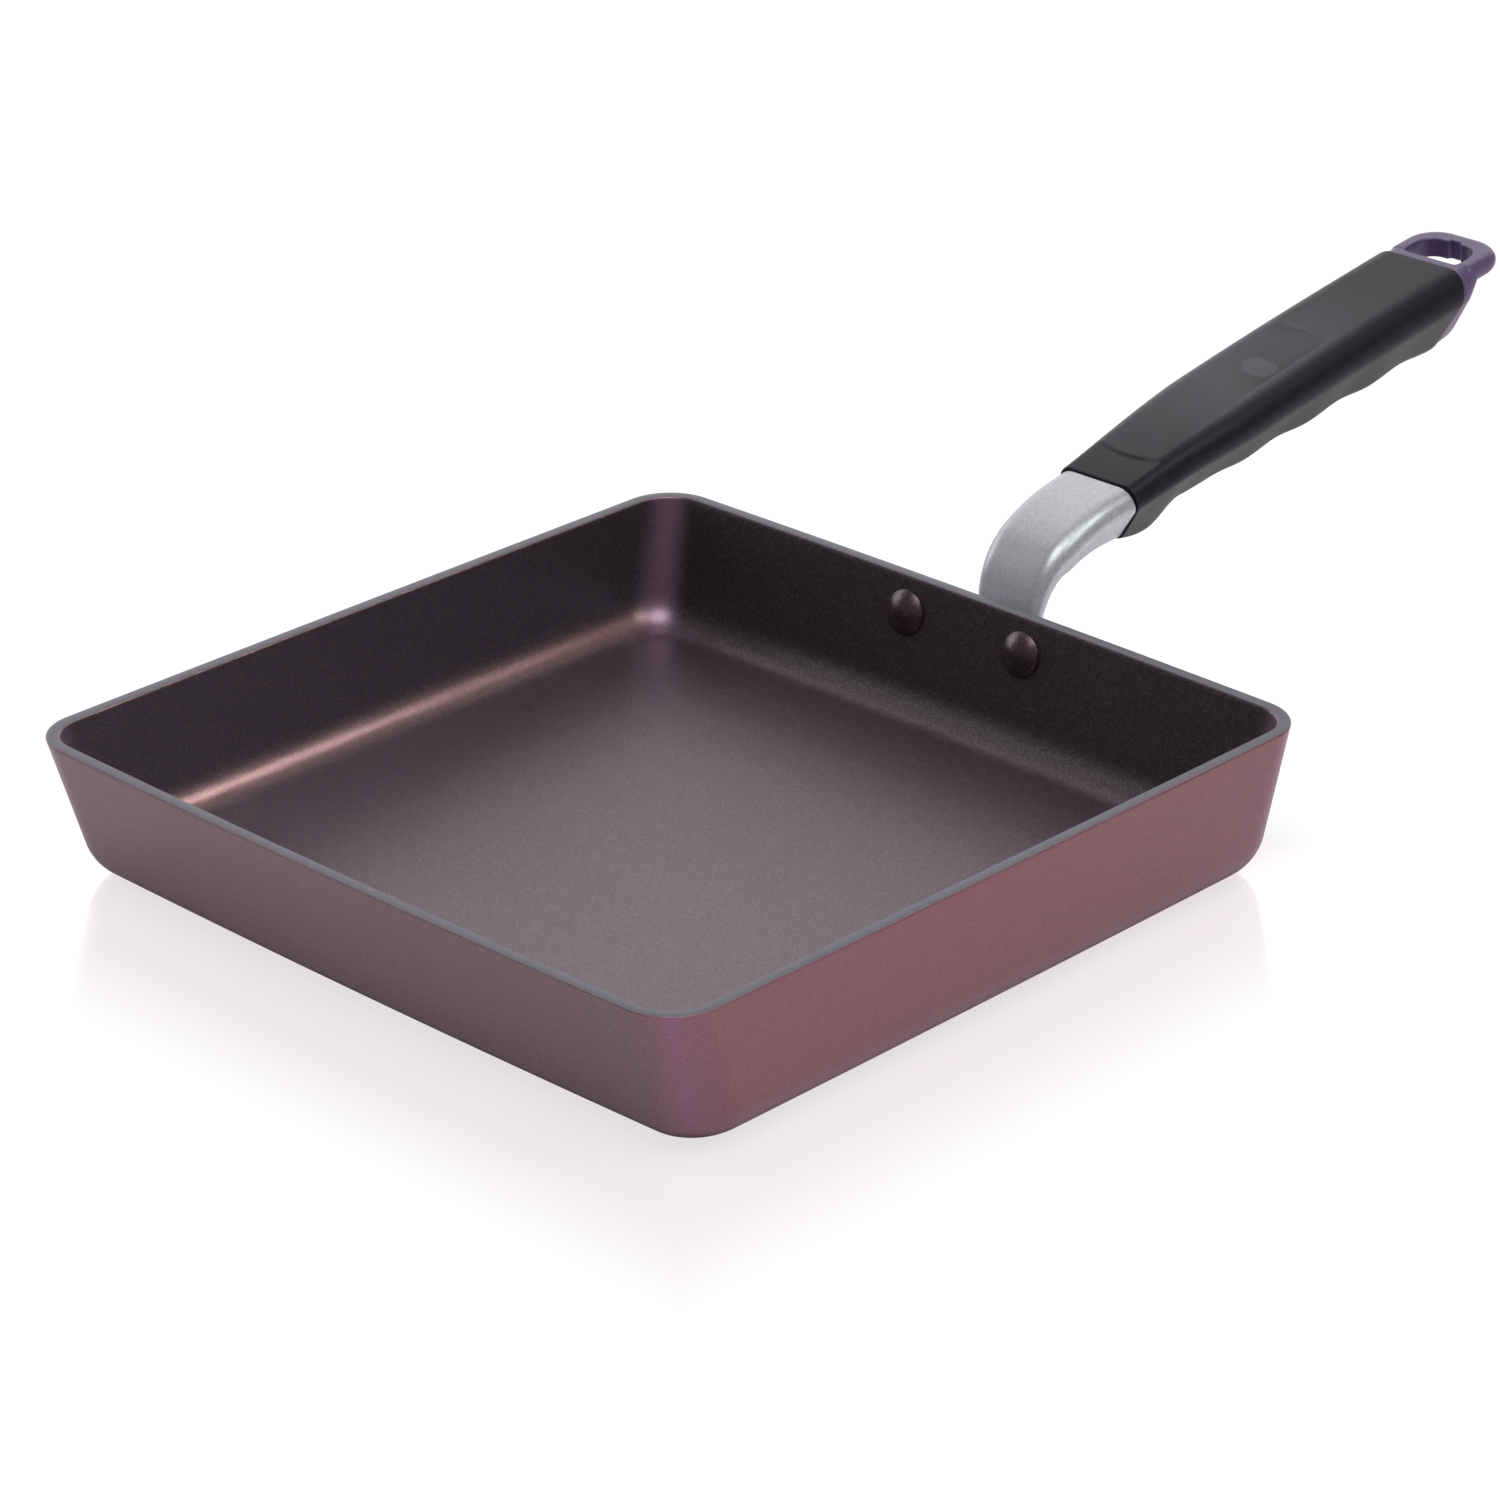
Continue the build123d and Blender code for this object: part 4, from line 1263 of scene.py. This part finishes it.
@dataclass
class Fastening:
    """The screw and washer in their well under the grip."""

    place: float = 43.5
    head: float = 7.0
    head_height: float = 2.4
    head_round: float = 0.7
    seat: float = 12.0
    washer: float = 8.2
    washer_thickness: float = 0.8
    gap: float = 0.1
    shank: float = 4.0
    drive_width: float = 4.0
    drive_slot: float = 0.9
    drive_depth: float = 1.2
    well: float = 9.2
    well_top: float = 11.0
    well_reach: float = 3.0
    well_steps: int = 64
    shank_shown: float = 6.0
    washer_play: float = 0.15
    sharp: float = 30.0
    round_steps: int = 5
    steps: int = 40

    def bore(self) -> Mesh:
        """The cutter for the well, in the grip's frame."""
        half, top = self.well / 2, -self.well_top
        low = top * self.well_reach
        mesh = turned([(0.0, low), (half, low), (half, top), (0.0, top)], self.well_steps)
        mesh.transform(Matrix.Translation((self.place, 0, 0)))
        return mesh

    def slot(self, turn: float) -> Mesh:
        """One of the two slots of the cross drive, as a block round the head's outer face."""
        mesh = bmesh.new()
        bmesh.ops.create_cube(mesh, size=1)
        size = Matrix.Diagonal((self.drive_width, self.drive_slot, self.drive_depth * 2, 1))
        mesh.transform(Matrix.Translation((0, 0, -self.head_height)) @ Matrix.Rotation(turn, 4, "Z") @ size)
        return mesh

    def build(self, grip: Grip) -> None:
        """Builds both pieces in the grip's frame."""
        half, edge = self.head / 2, self.head_round
        low = -self.head_height
        profile = [(0.0, low), (half - edge, low)]
        profile += [(half - edge + edge * sin_deg(angle), low + edge - edge * cos_deg(angle))
                    for angle in spread(0, 90, self.round_steps)[1:]]
        shank, end = self.shank / 2, self.shank_shown
        profile += [(half, 0.0), (shank, 0.0), (shank, end), (0.0, end)]
        slots = [(self.slot(turn), "DIFFERENCE") for turn in (0.0, math.pi / 2)]
        mesh = carve(turned(profile, self.steps), slots)
        place = grip.plane() @ Matrix.Translation((self.place, 0, -self.seat))
        piece(mesh, "grip_screw", [ZINC.material()], ["handle_screw"], place, self.sharp)
        inner, outer = shank + self.washer_play, self.washer / 2
        near, far = self.gap, self.gap + self.washer_thickness
        ring = [(inner, near), (outer, near), (outer, far), (inner, far), (inner, near)]
        disc = turned(ring, self.steps)
        piece(disc, "grip_washer", [ZINC.material()], ["handle_washer"], place, self.sharp)


# The studio


@dataclass(frozen=True)
class Lamp:
    """A square soft box.

    It hangs at its place, in metres, faces its aim, and has a side in metres, a power, and a beam of
    that full angle in degrees.
    """

    name: str
    place: Corner
    side: float
    watts: float
    aim: Corner = (0.03, 0.0, 0.02)
    beam: float = 180.0

    def hang(self) -> None:
        """Adds the lamp to the scene."""
        data = bpy.data.lights.new(self.name, "AREA")
        data.shape = "SQUARE"
        data.size = self.side
        data.energy = self.watts
        data.spread = math.radians(self.beam)
        obj = stand(self.name, data)
        obj.location = self.place
        obj.rotation_euler = (Vector(self.aim) - Vector(self.place)).to_track_quat("-Z", "Y").to_euler()


LAMPS = (
    Lamp("key", (0.48, -0.92, 1.25), side=0.6, watts=5.5),
    Lamp("overhead", (-0.38, -0.42, 1.50), side=1.0, watts=12.5),
    Lamp("fill", (-0.35, 1.55, 0.60), side=0.9, watts=5.0),
    Lamp("streak", (0.90, -0.545, 0.945), side=0.12, watts=0.014, aim=(-0.10, 0.085, 0.005), beam=7.0),
    Lamp("grip edge", (0.345, 0.945, 1.215), side=0.05, watts=0.018, aim=(0.198, 0.0, 0.066), beam=3.0),
)


@dataclass
class Studio:
    """White table, soft lamps and the camera of the photograph.

    The camera's distance and aim are in millimetres. The world and the table are in metres: backdrop
    is the direction of the world's bright side, and the mirror is a box round the pan's foot.
    """

    azimuth: float = 46.28
    elevation: float = 24.91
    distance: float = 1119.9
    aim: Corner = (19.8, -4.8, 23.7)
    lens: float = 123.35
    sensor: float = 36.0
    sight: float = 50.0
    backdrop: Corner = (0.62, 0.66, 0.42)
    backdrop_edge: Point = (0.55, 0.92)
    room: float = 0.22
    white: float = 1.25
    table_size: float = 8.0
    table_drop: float = 0.0003
    # Painted reflection: the table's lilac tint and the dimmer glow round the pan's foot darken and tint the
    # table as the pan's reflection does.
    table: str = "#f7f1f5"
    glow: float = 0.81
    far_glow: float = 0.92
    shade: str = "#646464"
    sheen: str = "#827e82"
    sheen_roughness: float = 0.12
    mirror_shift: Corner = (0.01, 0.0, 0.0)
    mirror_half: Corner = (0.08, 0.09, 0.0)
    mirror_fade: Point = (0.014, 0.055)

    def camera(self) -> None:
        """Places the camera."""
        data = bpy.data.cameras.new("camera")
        data.lens = self.lens
        data.sensor_width = self.sensor
        data.clip_end = self.sight
        level = cos_deg(self.elevation)
        forward = Vector((level * sin_deg(self.azimuth), level * cos_deg(self.azimuth),
                          -sin_deg(self.elevation)))
        obj = stand("camera", data)
        obj.location = (Vector(self.aim) - forward * self.distance) * MM
        obj.rotation_euler = forward.to_track_quat("-Z", "Y").to_euler()
        bpy.context.scene.camera = obj

    def world(self) -> None:
        """White to the camera; to the pan, a white backdrop behind it in a dim room."""
        world = bpy.data.worlds.new("studio")
        world.use_nodes = True
        nodes = Nodes(world.node_tree)
        toward = nodes.vectors("DOT_PRODUCT", nodes.place["Generated"], self.backdrop)
        level = nodes.ranged(toward.outputs["Value"], self.room, self.white, self.backdrop_edge)
        soft = nodes.add("ShaderNodeBackground", {"Color": linear(WHITE), "Strength": level})
        white = nodes.add("ShaderNodeBackground", {"Color": linear(WHITE), "Strength": 1.0})
        nodes.add("ShaderNodeOutputWorld", {0: nodes.split(soft, white)})
        bpy.context.scene.world = world

    def floor(self) -> None:
        """A white gloss table: it keeps a faint shadow, and mirrors the pan close to its foot only. There its
        glow is dimmer and lilac: painted reflection tint under the real gloss.
        """
        material, nodes = blank("white_gloss_table")
        shifted = nodes.vectors("ADD", nodes.place["Object"], self.mirror_shift)
        folded = nodes.vectors("ABSOLUTE", shifted.outputs[0])
        beyond = nodes.vectors("SUBTRACT", folded.outputs[0], self.mirror_half)
        axes = nodes.add("ShaderNodeSeparateXYZ", {0: beyond.outputs[0]}).outputs
        fade = nodes.ranged(nodes.maths("MAXIMUM", axes["X"], axes["Y"]), 0.0, 1.0, self.mirror_fade)
        white = nodes.add("ShaderNodeEmission", {"Color": linear(WHITE), "Strength": self.far_glow})
        # Painted reflection: the dimmer lilac glow round the pan's foot.
        lit = nodes.add("ShaderNodeEmission", {"Color": linear(self.table), "Strength": self.glow})
        gloss = nodes.add("ShaderNodeBsdfGlossy",
                          {"Color": linear(self.sheen), "Roughness": self.sheen_roughness})
        mirror = nodes.add("ShaderNodeAddShader", {0: lit.outputs[0], 1: gloss.outputs[0]})
        pane = nodes.add("ShaderNodeMixShader", {0: fade, 1: mirror.outputs[0], 2: white.outputs[0]})
        shaded = nodes.add("ShaderNodeBsdfDiffuse", {"Color": linear(self.shade)})
        seen = nodes.add("ShaderNodeAddShader", {0: pane.outputs[0], 1: shaded.outputs[0]})
        matt = nodes.add("ShaderNodeBsdfDiffuse", {"Color": linear(self.table)})
        nodes.add("ShaderNodeOutputMaterial", {0: nodes.split(matt, seen)})
        mesh = bmesh.new()
        bmesh.ops.create_grid(mesh, x_segments=1, y_segments=1, size=self.table_size / 2)
        data = settled("table", mesh)
        data.materials.append(material)
        obj = stand("table", data)
        obj.location.z = -self.table_drop
        obj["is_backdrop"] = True

    def build(self) -> None:
        """Sets up the whole studio."""
        self.camera()
        for lamp in LAMPS:
            lamp.hang()
        self.world()
        self.floor()
        bpy.context.scene.view_settings.view_transform = "Standard"


def corners(box: Any) -> list[list[float]]:
    """A box's two corners as plain numbers."""
    return [[float(value) for value in corner] for corner in box]


def main() -> None:
    """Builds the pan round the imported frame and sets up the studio."""
    logging.basicConfig(level=logging.INFO, format="%(name)s: %(message)s")
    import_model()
    before = corners(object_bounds())
    pan, rivets, grip, neck = PanShell(), Rivets(), Grip(), Neck()
    pan.build()
    rivets.build(pan)
    neck.build(pan, rivets, grip)
    fastening = Fastening()
    grip.build(fastening)
    HandleEnd().build(grip)
    fastening.build(grip)
    Studio().build()
    after = corners(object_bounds())


if __name__ == "__main__":
    main()
